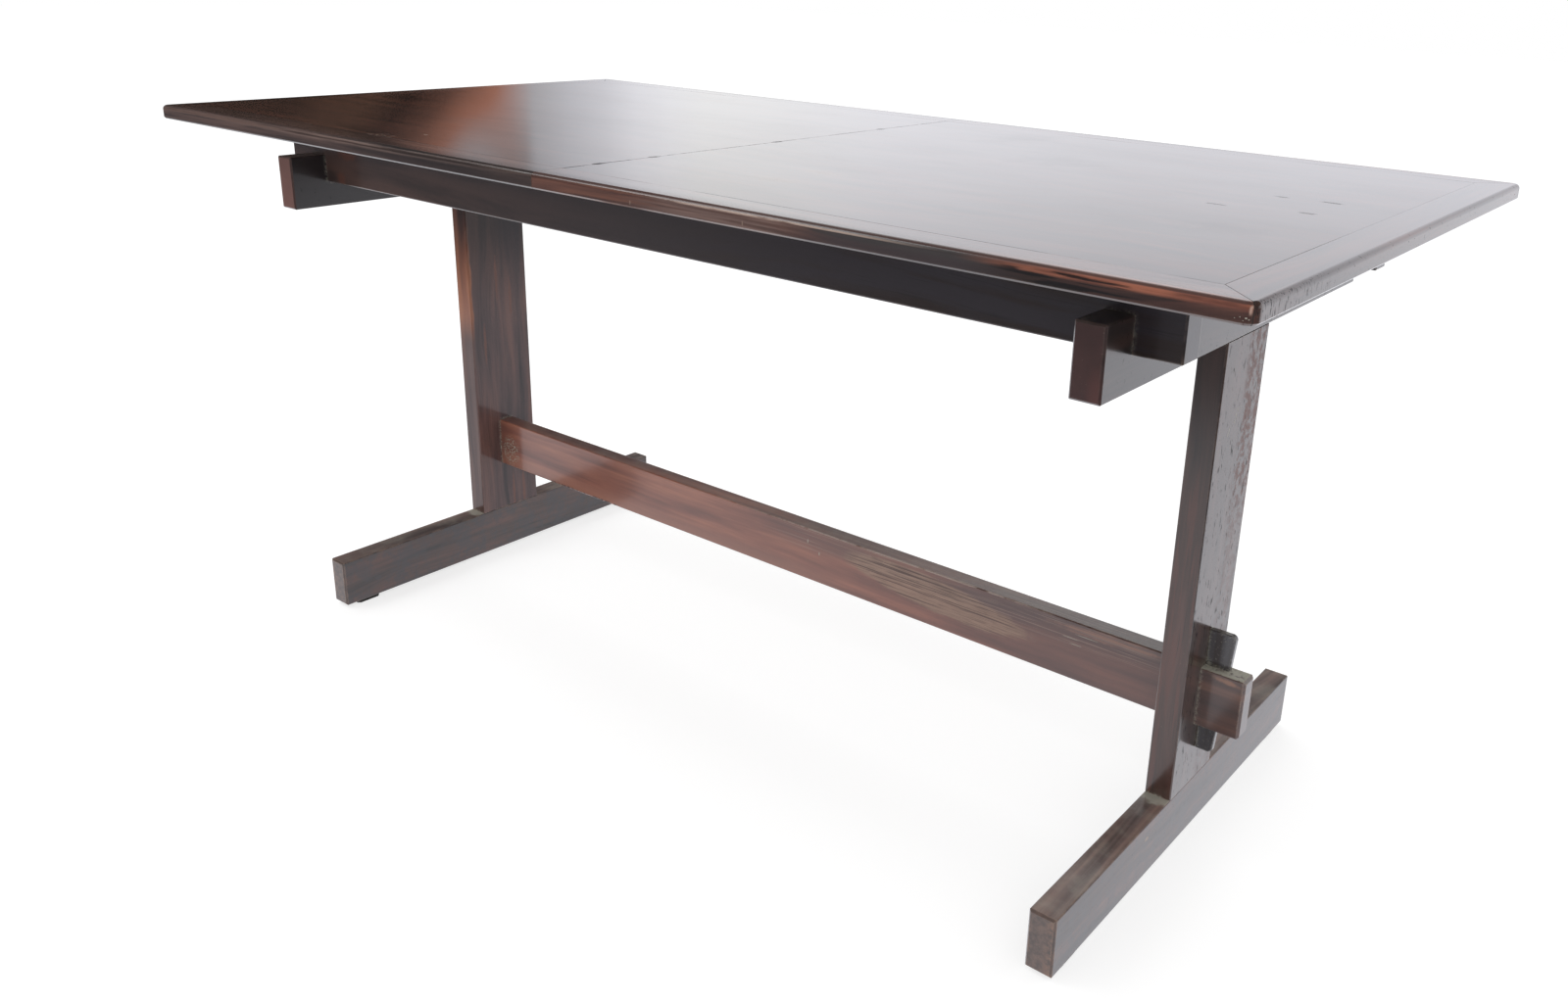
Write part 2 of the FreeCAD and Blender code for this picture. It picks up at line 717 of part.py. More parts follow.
def make_stretcher():
    """The stretcher: a bar between the trestles and a tenon through each, slotted for its key."""
    body = new_body("stretcher")
    tenons = centred("stretcher_thickness", TENON_HEIGHT)
    pad(
        body, "tenons", "YZ_Plane", tenons, f"2 * ({TRESTLE_OUTER} + tenon_reach)",
        both_ways=True,
    )
    dress_x_bar(body, "tenon_end_bevel", "tenon_arris_radius")
    bar = centred("stretcher_thickness", "stretcher_height")
    pad(body, "bar", "YZ_Plane", bar, f"2 * {TRESTLE_INNER}", both_ways=True)
    doc.recompute()
    high = body.Shape.BoundBox.ZMax
    dress_edges(
        body, "Fillet", "bar_arrises", "arris_radius",
        lambda box: runs_along_x(box) and abs(abs(box.ZMax) - high) < NEAR,
    )
    for name, side in SIDES:
        slot = key_outline(side, TRESTLE_OUTER, f"({KEY_BASE} - {STRETCHER_LINE})", "key_relief")
        cut(
            body, name + "_key_slot", "XZ_Plane", slot, "key_thickness + 2 * key_play",
            start="-key_offset", both_ways=True,
        )
    place(body, "0", "0", STRETCHER_LINE)
    keep(body, "stretcher")


def make_key(name, side, turn):
    """A wedge key: upright against the trestle, tapered outside, with rounded corners."""
    body = new_body(name)
    pad(
        body, "blade", "XZ_Plane", key_outline(1, "0", "0", "0"), "key_thickness",
        both_ways=True,
    )
    dress_edges(
        body, "Fillet", "outer_corners", "key_corner_radius",
        lambda box: box.YLength > NEAR and box.XMin > NEAR,
    )
    dress_edges(
        body, "Fillet", "heel_corners", "key_heel_radius",
        lambda box: box.YLength > NEAR and box.XMax < NEAR,
    )
    dress_edges(
        body, "Chamfer", "arrises", "key_arris_bevel",
        lambda box: box.YLength < NEAR,
    )
    place(body, f"{side} * {TRESTLE_OUTER}", "key_offset", KEY_BASE, turn)
    keep(body, name)


# The whole table

def make_leaves():
    blank = make_leaf_blank()
    long_stocks = {
        -1: make_long_rail_stock("near_rail_stock", -1),
        1: make_long_rail_stock("far_rail_stock", 1),
    }
    end_stock = make_end_rail_stock()
    dowel_holes = {
        "left": ("dowel_diameter", f"dowel_length / 2 - {LEAF_START}"),
        "right": ("dowel_diameter + dowel_play", "dowel_length / 2"),
    }
    for name, side in SIDES:
        turn = 0 if side > 0 else HALF_TURN
        make_panel(name + "_panel", side, turn, *dowel_holes[name])
        make_rail(name + "_end_rail", blank, end_stock, side, turn)
        for place_name, end in ENDS:
            hand = side * end
            make_rail(f"{name}_{place_name}_rail", blank, long_stocks[hand], side, turn)
            make_runner(f"{name}_{place_name}_runner", hand, turn)
        make_runner_screws(name + "_runner_screws", side, turn)
        make_pegs(name + "_stop_pegs", side, turn)
    make_dowels()


def make_frame():
    for name, end in ENDS:
        turn = 0 if end > 0 else HALF_TURN
        make_apron(name + "_apron", end, turn)
        make_batten(name + "_batten", end, turn)
        make_batten_screws(name + "_batten_screws", end, turn)
    for name, side in SIDES:
        make_bearer(name + "_bearer", side)
        make_bearer_screws(name + "_bearer_screws", side)
        make_upright(name + "_upright", side)
        make_foot(name + "_foot", side)
        for place_name, end in ENDS:
            make_foot_pad(f"{name}_{place_name}_pad", side, end)
    make_stretcher()


def make_keys():
    for name, side in SIDES:
        make_key(name + "_key", side, 0 if side > 0 else HALF_TURN)


def check_and_write():
    """Stops if anything failed, and writes each piece to a file of its own."""
    doc.recompute()
    failed = [item.Name for item in doc.Objects if {"Invalid", "Error"} & set(item.State)]
    if failed:
        raise RuntimeError("these failed: " + ", ".join(failed))
    for piece in nodes:
        if piece.Shape.isNull() or not piece.Shape.isValid():
            raise RuntimeError(piece.Label + " has no valid shape")
    os.makedirs("parts", exist_ok=True)
    for piece in nodes:
        piece.Shape.exportStep(f"parts/{piece.Label}.step")


make_sheet()
make_leaves()
make_frame()
make_keys()
check_and_write()
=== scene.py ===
import math

import bpy
from mathutils import Matrix, Vector

# Looks of the trestle table. Lengths are in metres, and each piece stands where the frame says.

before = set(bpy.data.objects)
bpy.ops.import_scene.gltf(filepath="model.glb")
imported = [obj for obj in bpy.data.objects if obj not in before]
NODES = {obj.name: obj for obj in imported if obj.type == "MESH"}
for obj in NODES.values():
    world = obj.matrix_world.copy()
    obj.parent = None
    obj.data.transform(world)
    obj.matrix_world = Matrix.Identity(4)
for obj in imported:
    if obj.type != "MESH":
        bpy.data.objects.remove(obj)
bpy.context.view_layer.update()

# The camera: where it stands, how it is turned, and its lens in pixels of the 1600 x 1025 image
IMAGE_SIZE = (1600, 1025)
CAMERA_PLACE = Vector((1.1278, -1.3133, 0.9803))
CAMERA_YAW, CAMERA_PITCH, CAMERA_ROLL = 36.58, 19.14, 2.09
FOCAL_PIXELS = 1341.8
PRINCIPAL_PIXEL = (888.5, 429.1)
SENSOR_WIDTH = 36.0

SIDES = ("left", "right")
ENDS = ("front", "back")
AXES = "XYZ"


class Graph:
    """Adds nodes to the tree of a material or world, and feeds each socket a value or a link."""

    def __init__(self, tree):
        self.tree = tree
        tree.nodes.clear()

    def feed(self, socket, value):
        if isinstance(value, bpy.types.NodeSocket):
            self.tree.links.new(value, socket)
        elif value is not None:
            socket.default_value = value

    def add(self, kind, feeds=None, **settings):
        node = self.tree.nodes.new("ShaderNode" + kind)
        for name, value in settings.items():
            setattr(node, name, value)
        for socket, value in (feeds or {}).items():
            self.feed(node.inputs[socket], value)
        return node

    def math(self, operation, first, second=None, clamp=False):
        node = self.add("Math", {0: first, 1: second}, operation=operation, use_clamp=clamp)
        return node.outputs[0]

    def size(self, value):
        """The value without its sign."""
        return self.math("ABSOLUTE", value)

    def rest(self, share):
        """What the share leaves of 1."""
        return self.math("SUBTRACT", 1.0, share)

    def vector(self, operation, first, second):
        feeds = {0: first, "Scale" if operation == "SCALE" else 1: second}
        return self.add("VectorMath", feeds, operation=operation).outputs[0]

    def join(self, x, y, z):
        return self.add("CombineXYZ", {0: x, 1: y, 2: z}).outputs[0]

    def split(self, vector):
        return self.add("SeparateXYZ", {0: vector}).outputs

    def mix(self, share, first, second, blend="MIX"):
        """Share 0 is the first colour, and 1 the second."""
        node = self.add(
            "Mix", {0: share, 6: first, 7: second}, data_type="RGBA", blend_type=blend,
        )
        return node.outputs[2]

    def blend_numbers(self, share, first, second):
        return self.add("Mix", {0: share, 2: first, 3: second}, data_type="FLOAT").outputs[0]

    def step(self, value, low, high):
        """0 up to low, 1 from high, and smooth between them. Low may be above high."""
        if low > high:
            return self.rest(self.step(value, high, low))
        feeds = {0: value, 1: low, 2: high}
        return self.add("MapRange", feeds, interpolation_type="SMOOTHSTEP").outputs[0]

    def between(self, value, comes, goes):
        """A mask that comes between the first two numbers, and goes between the last two."""
        return self.times(self.step(value, *comes), self.step(value, *goes))

    def ramp(self, value, stops):
        """A colour that follows value through stops, each a place and a colour."""
        node = self.add("ValToRGB", {0: value})
        line = node.color_ramp
        line.elements.remove(line.elements[1])
        line.elements[0].position, line.elements[0].color = stops[0]
        for place, colour in stops[1:]:
            line.elements.new(place).color = colour
        return node.outputs[0]

    def noise(self, vector, scale, detail=2.0, roughness=0.5, distortion=0.0):
        feeds = {
            "Vector": vector, "Scale": scale, "Detail": detail,
            "Roughness": roughness, "Distortion": distortion,
        }
        return self.add("TexNoise", feeds).outputs[0]

    def layers(self, *values):
        """The largest of several masks."""
        top = values[0]
        for value in values[1:]:
            top = self.math("MAXIMUM", top, value)
        return top

    def times(self, *values):
        product = values[0]
        for value in values[1:]:
            product = self.math("MULTIPLY", product, value)
        return product


def colour(red, green, blue):
    return (red, green, blue, 1.0)


def new_material(name):
    material = bpy.data.materials.new(name)
    material.use_nodes = True
    return material, Graph(material.node_tree)


def dress(node, material):
    """Gives a frame node its finish, with smooth shading left as the frame has it."""
    for slot in NODES[node].material_slots:
        slot.link = "OBJECT"
        slot.material = material


def soften(node, width, segments=2):
    """Eases a node's sharp arrises by that width, which also leaves a fine groove at a joint."""
    bevel = NODES[node].modifiers.new("soften", "BEVEL")
    bevel.width = width
    bevel.segments = segments
    bevel.limit_method = "ANGLE"
    bevel.angle_limit = math.radians(30.0)


# Wood

# How far a normal leans to a side where a mark for that side starts, and where it shows in full
FACING, LEVEL = (0.5, 0.9), (0.6, 0.95)
# Layers of the figure: scale, how far drawn out along the grain, detail and roughness
BROAD, NARROW, THREAD = (46.0, 11.0, 4.0, 0.5), (210.0, 34.0, 3.0), (760.0, 70.0, 2.0)
SEED_SHIFT, SWAY_SCALE = (1.7, 0.37, 0.61), (2.2, 7.0, 7.0)
PORES, PORE_DEPTH = (0.60, 0.70), 0.6
# Roundness at which an arris counts as rubbed, and the noise that breaks it up
RUBBED_TURN, RUBBED_STRETCHES = (0.995, 0.93), (0.42, 0.60)
NOOK, SETTLED, DRIFT = (0.72, 0.40), (0.40, 0.62), (0.38, 0.70)
RIPPLE_HEIGHT, GLAZE_RIPPLES = 0.0004, 0.035

BLACK = colour(0.010, 0.008, 0.009)
UMBER = colour(0.030, 0.019, 0.017)
BROWN = colour(0.062, 0.032, 0.025)
RUSSET = colour(0.130, 0.055, 0.040)
TAN = colour(0.330, 0.235, 0.180)
CREAM = colour(0.450, 0.430, 0.360)


def streaks(graph, space, scale, stretch, detail=3.0, roughness=0.55):
    """Noise drawn out along the grain."""
    long_way = graph.vector("MULTIPLY", space, (1.0 / stretch, 1.0, 1.0))
    return graph.noise(long_way, scale, detail, roughness)


class Wood:
    """Polished dark wood on one node, to which marks are added before it is finished."""

    def __init__(
        self, name, along, seed, tones, coarse=0.75, spread=0.14, open_pores=0.4, waves=0.07,
    ):
        """Tones are the dark, middle and light colours of the figure, which runs along an axis.

        Coarse is the share of broad bands in the figure, spread how far its contrast reaches,
        and waves how far it strays from straight.
        """
        self.material, graph = new_material(name)
        self.graph = graph
        self.place = graph.add("TexCoord").outputs["Object"]
        self.x, self.y, self.z = graph.split(self.place)[:3]
        self.facing = graph.add("NewGeometry").outputs["Normal"]
        self.turned = graph.split(self.facing)
        parts = {"X": self.x, "Y": self.y, "Z": self.z}
        across = [parts[axis] for axis in AXES if axis != along]
        space = graph.vector(
            "ADD", graph.join(parts[along], *across), tuple(seed * shift for shift in SEED_SHIFT),
        )
        sway = graph.noise(graph.vector("MULTIPLY", space, SWAY_SCALE), 1.0, 2.0)
        sway = graph.times(graph.math("SUBTRACT", sway, 0.5), waves)
        normal = dict(zip(AXES, self.turned))
        strays = [
            graph.times(sway, graph.rest(graph.size(normal[axis])))
            for axis in AXES if axis != along
        ]
        self.space = graph.vector("ADD", space, graph.join(0.0, *strays))
        self.broad = streaks(graph, self.space, *BROAD)
        self.narrow = streaks(graph, self.space, *NARROW)
        thread = streaks(graph, self.space, *THREAD)
        self.figure = graph.math(
            "ADD", graph.times(self.broad, coarse), graph.times(self.narrow, 1.0 - coarse),
        )
        self.spread = spread
        self.tint = self.shades(tones)
        pores = graph.step(thread, *PORES)
        self.tint = graph.mix(graph.times(pores, open_pores), self.tint, BLACK)
        self.relief = graph.math(
            "SUBTRACT", graph.times(self.narrow, 0.5), graph.times(pores, PORE_DEPTH),
        )
        self.dullness = 0.3
        self.polish = 1.0

    def shades(self, tones):
        """The figure in these dark, middle and light colours."""
        dark, middle, light = tones
        stops = ((0.5 - self.spread, dark), (0.5, middle), (0.5 + self.spread, light))
        return self.graph.ramp(self.figure, stops)

    def lay(self, mask, tint, dullness=None, bare=0.0):
        """Puts another colour, and a share of dullness, where the mask is.

        Bare is the share of the polish that is gone there.
        """
        self.tint = self.graph.mix(mask, self.tint, tint)
        if dullness is not None:
            self.dullness = self.graph.blend_numbers(mask, self.dullness, dullness)
        if bare:
            left = self.graph.rest(self.graph.times(mask, bare))
            self.polish = self.graph.times(self.polish, left)

    def front(self):
        """Where the surface faces the front of the table."""
        return self.graph.step(self.turned[1], -FACING[0], -FACING[1])

    def above(self):
        return self.graph.step(self.turned[2], *LEVEL)

    def rightward(self):
        return self.graph.step(self.turned[0], *FACING)

    def sideways(self):
        """Where the surface faces left or right."""
        return self.graph.step(self.graph.size(self.turned[0]), *FACING)

    def oval(self, centre, reach, edge=0.5, rough_scale=60.0, tilt=0.0):
        """A patch round centre with a ragged edge. Reach is its half size along X, Y and Z, and
        tilt, in radians, leans its long way from X towards Z.
        """
        graph = self.graph
        away = graph.vector("SUBTRACT", self.place, centre)
        if tilt:
            x, y, z = graph.split(away)[:3]
            cos, sin = math.cos(tilt), math.sin(tilt)
            away = graph.join(
                graph.math("ADD", graph.times(x, cos), graph.times(z, sin)), y,
                graph.math("SUBTRACT", graph.times(z, cos), graph.times(x, sin)),
            )
        away = graph.vector("DIVIDE", away, reach)
        gone = graph.add("VectorMath", {0: away}, operation="LENGTH").outputs["Value"]
        ragged = graph.math("SUBTRACT", graph.noise(self.place, rough_scale, 4.0, 0.65), 0.5)
        return graph.step(graph.math("ADD", gone, graph.times(ragged, 2.0 * edge)), 1.0, 1.0 - edge)

    def speckle(self, scale, low, high, detail=3.0):
        return self.graph.step(self.graph.noise(self.place, scale, detail, 0.75), low, high)

    def wear(self, share, tint=TAN, radius=0.0025):
        """Rubs the arrises pale, in broken stretches."""
        graph = self.graph
        soft = graph.add("Bevel", {"Radius": radius}, samples=4).outputs[0]
        turn = graph.add("VectorMath", {0: soft, 1: self.facing}, operation="DOT_PRODUCT")
        rub = graph.noise(self.place, 38.0, 5.0, 0.7)
        worn = graph.times(
            graph.step(turn.outputs["Value"], *RUBBED_TURN), graph.step(rub, *RUBBED_STRETCHES), share,
        )
        self.lay(worn, tint, 0.5)

    def dust(self, corners, tops, reach=0.010):
        """Dust that gathers in corners, and lies on what faces up."""
        graph = self.graph
        nook = graph.add("AmbientOcclusion", {"Distance": reach}, samples=4).outputs["AO"]
        fine = self.speckle(330.0, *SETTLED)
        settled = graph.times(graph.step(nook, *NOOK), fine, corners)
        drift = graph.step(graph.noise(self.place, 22.0, 5.0, 0.65), *DRIFT)
        lying = graph.times(self.above(), drift, tops)
        self.lay(graph.layers(settled, lying), CREAM, 0.9)

    def finish(self, gloss, index=1.5, under=None, ripples=0.10):
        """Closes the material, with gloss the roughness of the polish.

        Index is the polish's index of refraction, under is the wood's own where it differs, and
        ripples is how strongly the grain shows as relief below the polish.
        """
        graph = self.graph
        ripple = graph.add(
            "Bump", {"Strength": ripples, "Distance": RIPPLE_HEIGHT, "Height": self.relief},
        ).outputs[0]
        glaze = graph.add(
            "Bump", {"Strength": GLAZE_RIPPLES, "Distance": RIPPLE_HEIGHT, "Height": self.narrow},
        ).outputs[0]
        shader = graph.add("BsdfPrincipled", {
            "Base Color": self.tint, "Roughness": self.dullness, "IOR": under or index,
            "Normal": ripple,
            "Coat Weight": self.polish, "Coat Roughness": gloss, "Coat IOR": index,
            "Coat Normal": glaze,
        })
        graph.add("OutputMaterial", {"Surface": shader.outputs[0]})
        return self.material


GRAIN = {"X": (0.05, 1.0, 1.0), "Y": (1.0, 0.05, 1.0), "Z": (1.0, 1.0, 0.05)}


def plain_wood(name, along, seed):
    """Unpolished secondary wood, for what is out of sight under the top."""
    material, graph = new_material(name)
    place = graph.add("TexCoord").outputs["Object"]
    space = graph.vector("ADD", graph.vector("MULTIPLY", place, GRAIN[along]), (seed, seed, seed))
    figure = graph.noise(space, 120.0, 4.0)
    stops = (0.35, colour(0.16, 0.085, 0.045)), (0.65, colour(0.30, 0.18, 0.10))
    tint = graph.ramp(figure, stops)
    ripple = graph.add("Bump", {"Strength": 0.3, "Distance": 0.0005, "Height": figure}).outputs[0]
    shader = graph.add("BsdfPrincipled", {"Base Color": tint, "Roughness": 0.7, "Normal": ripple})
    graph.add("OutputMaterial", {"Surface": shader.outputs[0]})
    return material


def steel(name):
    material, graph = new_material(name)
    place = graph.add("TexCoord").outputs["Object"]
    spots = graph.noise(place, 900.0, 3.0)
    tint = graph.ramp(spots, ((0.4, colour(0.45, 0.44, 0.42)), (0.65, colour(0.22, 0.18, 0.15))))
    dullness = graph.blend_numbers(spots, 0.25, 0.6)
    shader = graph.add("BsdfPrincipled", {"Base Color": tint, "Roughness": dullness, "Metallic": 1.0})
    graph.add("OutputMaterial", {"Surface": shader.outputs[0]})
    return material


def felt(name):
    material, graph = new_material(name)
    place = graph.add("TexCoord").outputs["Object"]
    fluff = graph.noise(place, 1400.0, 4.0, 0.7)
    tint = graph.ramp(fluff, ((0.35, colour(0.02, 0.018, 0.017)), (0.7, colour(0.08, 0.075, 0.07))))
    ripple = graph.add("Bump", {"Strength": 0.6, "Distance": 0.0006, "Height": fluff}).outputs[0]
    shader = graph.add("BsdfPrincipled", {"Base Color": tint, "Roughness": 0.95, "Normal": ripple})
    graph.add("OutputMaterial", {"Surface": shader.outputs[0]})
    return material


# What each piece shows. Places are in metres at rest. A pair says where a mark starts to show and
# where it shows in full, and a stretch is one pair for where it comes and one for where it goes.

TOP = 0.760
FIELD_END, FIELD_SIDE = 0.757, 0.3695
JOINT = 0.0004
MITRE_BLUR, BORDER_BLUR = 2.8, 2.0
# How far a patch reaches into the piece that it lies on
SHALLOW, RIM_DEEP, DEEP = 0.01, 0.02, 0.05

# On the top: Y alone, or X, Y and the half sizes along them
SEAM_CHIPS = (-0.319, -0.234, -0.017, 0.204, 0.380)
STAINS = (
    (0.600, -0.024, 0.016, 0.005), (0.633, 0.077, 0.012, 0.005), (0.689, -0.004, 0.013, 0.006),
    (0.686, 0.081, 0.016, 0.006), (0.772, 0.029, 0.003, 0.003),
)
SMUDGES = ((0.194, -0.252, 0.050, 0.020), (0.203, -0.177, 0.040, 0.018))
CLOUDS = (
    (0.182, 0.285, 0.060, 0.095), (0.665, -0.150, 0.060, 0.050), (0.330, 0.120, 0.090, 0.070),
)
# Their strength, soft edge, the scale of its raggedness, colour, dullness and polish gone
FIELD_MARKS = (
    (STAINS, 0.45, 0.6, 160.0, BLACK, 0.9, 0.4),
    (SMUDGES, 0.5, 0.9, 40.0, TAN, 0.3, 0.12),
    (CLOUDS, 0.6, 0.9, 30.0, UMBER, 0.15, 0.12),
)
SCRAPE, SCRAPE_SIZE = (-0.345, -0.372, TOP), (0.032, 0.022, SHALLOW)
PALE_DOT, PALE_DOT_SIZE = (-0.317, -0.319, TOP), (0.004, 0.003, SHALLOW)
SEAM_FACE, SEAM_LINE, SEAM_UPPER = (0.010, 0.006), (0.0022, 0.0010), (0.7572, 0.7588)
SEAM_FADES, END_JOINT_FADES = (-0.30, -0.24), (-0.20, -0.06)

# On the rim: distances from the middle along Y
NEAR_RIM, RIM_FACE = (0.385, 0.409), (0.405, 0.4085)
RIM_ROUNDING, RIM_CREST = (0.400, 0.408), (0.4070, 0.4082)
FRONT_RIM, CORNER_RIM = -0.4125, -0.410
# heights
RIM_LOW, RIM_RISE, SMOKY_RISE = (0.7535, 0.7465), (0.7510, 0.7545), (0.7475, 0.7550)
RIM_HIGHLIGHT, CREST_HEIGHT = (RIM_RISE, (0.7594, 0.7580)), (0.7574, 0.7584)
# The painted highlight line on the rim's rounding, and the painted highlight on the front rim's corner
# turn
HIGHLIGHT_LINE, HIGHLIGHT_HEIGHT = ((0.7553, 0.7560), (0.7576, 0.7569)), ((0.7585, 0.7560), (0.7490, 0.7530))
BELOW_CREST = (0.7575, 0.7560)
# and stretches along X
WORN, SMOKY = ((0.12, 0.24), (0.40, 0.31)), ((0.33, 0.42), (0.62, 0.54))
HIGHLIGHT_STRETCH, INKY = ((0.17, 0.24), (0.54, 0.40)), ((0.56, 0.60), (0.73, 0.68))
COPPERY, RED = (0.53, 0.64), (0.58, 0.70)
TOWARD_END, TOWARD_SEAM = (-0.30, -0.62), (-0.30, -0.12)
# Its marks: X, Z and the half size of a chip
CORNER_CHIPS = (
    (0.7925, 0.7480, 0.0011), (0.7945, 0.7470, 0.0007), (0.7880, 0.7484, 0.0006),
    (0.7840, 0.7470, 0.0005), (0.7905, 0.7460, 0.0005),
)
RIM_NICKS, NICK_SIZE = ((0.302, 0.748), (0.302, 0.742), (0.151, 0.7475)), (0.0010, RIM_DEEP, 0.0030)
END_EDGE, END_FRONT = (0.794, 0.799), (-0.20, -0.40)


def joints(wood):
    """The lines at which the field panel, its rails and their mitres meet."""
    graph = wood.graph
    past_end = graph.math("SUBTRACT", graph.size(wood.x), FIELD_END)
    past_side = graph.math("SUBTRACT", graph.size(wood.y), FIELD_SIDE)
    outward = graph.math("MAXIMUM", past_end, past_side)
    off_border = graph.size(outward)
    off_mitre = graph.size(graph.math("SUBTRACT", past_end, past_side))
    mitre = graph.times(
        graph.step(off_mitre, MITRE_BLUR * JOINT, JOINT), graph.step(outward, 0.0, JOINT),
    )
    border = graph.step(off_border, BORDER_BLUR * JOINT, JOINT)
    along_side = graph.step(graph.math("SUBTRACT", past_side, past_end), -0.001, 0.001)
    tight = graph.times(along_side, graph.step(graph.noise(wood.place, 9.0, 3.0), 0.62, 0.45), 0.85)
    border = graph.times(border, graph.rest(tight))
    at_end = graph.blend_numbers(graph.step(wood.y, *END_JOINT_FADES), 0.5, 0.15)
    depth = graph.blend_numbers(along_side, at_end, 0.8)
    wood.lay(graph.times(graph.layers(border, mitre), depth), BLACK, 0.95, 0.7)


def mark_seam(wood, hand):
    """The sawn face of a leaf's seam edge, and the dark line and chips along it on the top."""
    graph = wood.graph
    seam_face = graph.times(wood.sideways(), graph.step(graph.size(wood.x), *SEAM_FACE))
    sawn = graph.step(graph.noise(wood.place, 260.0, 4.0), 0.35, 0.65)
    bare_wood = graph.mix(sawn, colour(0.050, 0.029, 0.024), colour(0.110, 0.063, 0.048))
    wood.lay(seam_face, bare_wood, 0.7, 0.7)
    upper = graph.step(wood.z, *SEAM_UPPER)
    near_seam = graph.times(graph.step(graph.size(wood.x), *SEAM_LINE), upper)
    broken = graph.step(graph.noise(wood.place, 26.0, 4.0, 0.7), 0.42, 0.56)
    depth = graph.blend_numbers(graph.step(wood.y, *SEAM_FADES), 0.75, 0.42)
    wood.lay(graph.times(near_seam, broken, depth), BLACK, 0.95, 0.6)
    for y in SEAM_CHIPS:
        chip = wood.oval((0.002 * hand, y, TOP), (0.0032, 0.011, 0.005), 0.6, 240.0)
        wood.lay(graph.times(chip, upper, depth), BLACK, 0.95, 0.8)


def panel_look(side, seed):
    wood = Wood(side + "_panel_veneer", "X", seed, (BLACK, BROWN, RUSSET), coarse=0.5)
    graph = wood.graph
    haze = graph.noise(graph.vector("MULTIPLY", wood.place, (1.0, 2.2, 1.0)), 4.5, 5.0, 0.6)
    haze = graph.step(haze, 0.35, 0.70)
    wood.dullness = graph.blend_numbers(haze, 0.05, 0.11)
    wood.polish = graph.rest(graph.math(
        "ADD", graph.times(haze, 0.07), graph.times(wood.narrow, 0.06),
    ))
    if side == "right":
        for places, strength, edge, rough_scale, tint, dullness, bare in FIELD_MARKS:
            for x, y, long_way, short_way in places:
                mark = wood.oval((x, y, TOP), (long_way, short_way, SHALLOW), edge, rough_scale)
                wood.lay(graph.times(mark, strength), tint, dullness, bare)
    mark_seam(wood, 1.0 if side == "right" else -1.0)
    if side == "left":
        fine = wood.speckle(420.0, 0.54, 0.58, 2.0)
        wood.lay(graph.times(wood.oval(SCRAPE, SCRAPE_SIZE, 0.8, 90.0), fine), TAN, 0.7, 0.3)
        wood.lay(wood.oval(PALE_DOT, PALE_DOT_SIZE), TAN, 0.7)
    joints(wood)
    return wood.finish(0.04, 1.56, ripples=0.045)


def end_rail_look(side, seed):
    wood = Wood(side + "_end_rail_wood", "Y", seed, (BLACK, BROWN, RUSSET), coarse=0.5)
    graph = wood.graph
    wood.dullness = 0.13
    edge = graph.step(graph.size(wood.x), *END_EDGE)
    lines = streaks(graph, graph.join(wood.z, wood.y, wood.x), 420.0, 6.0, 3.0)
    near_front = graph.step(wood.y, *END_FRONT)
    wood.lay(graph.times(edge, graph.step(lines, 0.56, 0.62), near_front), BLACK, 0.7, 0.7)
    pits = graph.times(edge, wood.speckle(170.0, 0.63, 0.68))
    wood.lay(graph.times(pits, 0.8), BLACK, 0.7, 0.6)
    # Painted reflection: a dark red-brown band on the rounded corner, where the surface turns from the
    # front to the end
    corner = graph.times(edge, graph.step(wood.turned[1], -0.45, -0.62))
    wood.lay(graph.times(corner, 0.8), colour(0.075, 0.028, 0.022))
    wood.wear(0.2)
    joints(wood)
    return wood.finish(0.06, 1.54)


def copper_rim(wood, face, low):
    """The right rails' rim, which runs from worn at the seam over smoky to coppery at the corner, with a
    painted highlight along its rounding.
    """
    graph = wood.graph
    drift = graph.noise(graph.vector("MULTIPLY", wood.place, (0.10, 1.0, 1.0)), 130.0, 4.0, 0.6)
    worn = graph.between(wood.x, *WORN)
    lines = graph.step(streaks(graph, wood.place, 400.0, 50.0, 3.0), 0.38, 0.60)
    wood.lay(graph.times(face, worn, 0.8), graph.mix(
        lines, colour(0.115, 0.062, 0.051), colour(0.215, 0.138, 0.118),
    ), 0.4)
    smoky = graph.between(wood.x, *SMOKY)
    wood.lay(graph.times(face, smoky, 0.85), graph.mix(
        graph.step(wood.z, *SMOKY_RISE), colour(0.048, 0.037, 0.041), colour(0.052, 0.047, 0.048),
    ), 0.4)
    rounding = graph.times(
        graph.step(wood.z, *RIM_RISE), graph.step(graph.size(wood.y), *RIM_ROUNDING),
    )
    coppery = graph.times(rounding, graph.step(wood.x, *COPPERY))
    wood.lay(graph.times(coppery, 0.85), graph.mix(
        graph.step(drift, 0.35, 0.65), colour(0.170, 0.058, 0.040), colour(0.40, 0.135, 0.078),
    ))
    crest = graph.times(
        graph.step(graph.size(wood.y), *RIM_CREST), graph.step(wood.z, *CREST_HEIGHT),
    )
    wood.lay(graph.times(crest, 0.9), colour(0.075, 0.036, 0.031), 0.4, 0.65)
    wood.lay(graph.times(face, low, graph.step(wood.x, *RED), 0.7), colour(0.050, 0.024, 0.021))
    # Painted highlight: a thin pale line along the rim's rounding, broken up, over part of its length
    line = graph.between(wood.z, *HIGHLIGHT_LINE)
    bright = graph.between(wood.x, *HIGHLIGHT_STRETCH)
    broken = graph.times(line, graph.step(drift, 0.36, 0.50), bright, 0.85)
    wood.lay(broken, colour(0.48, 0.36, 0.30), 0.4)
    long_flow = graph.vector("MULTIPLY", wood.place, (0.05, 1.0, 1.0))
    inky = graph.step(graph.noise(long_flow, 230.0, 3.0, 0.5), 0.51, 0.58)
    inky_part = graph.between(wood.x, *INKY)
    wood.lay(graph.times(inky, inky_part, graph.step(wood.z, *BELOW_CREST), 0.9), BLACK)


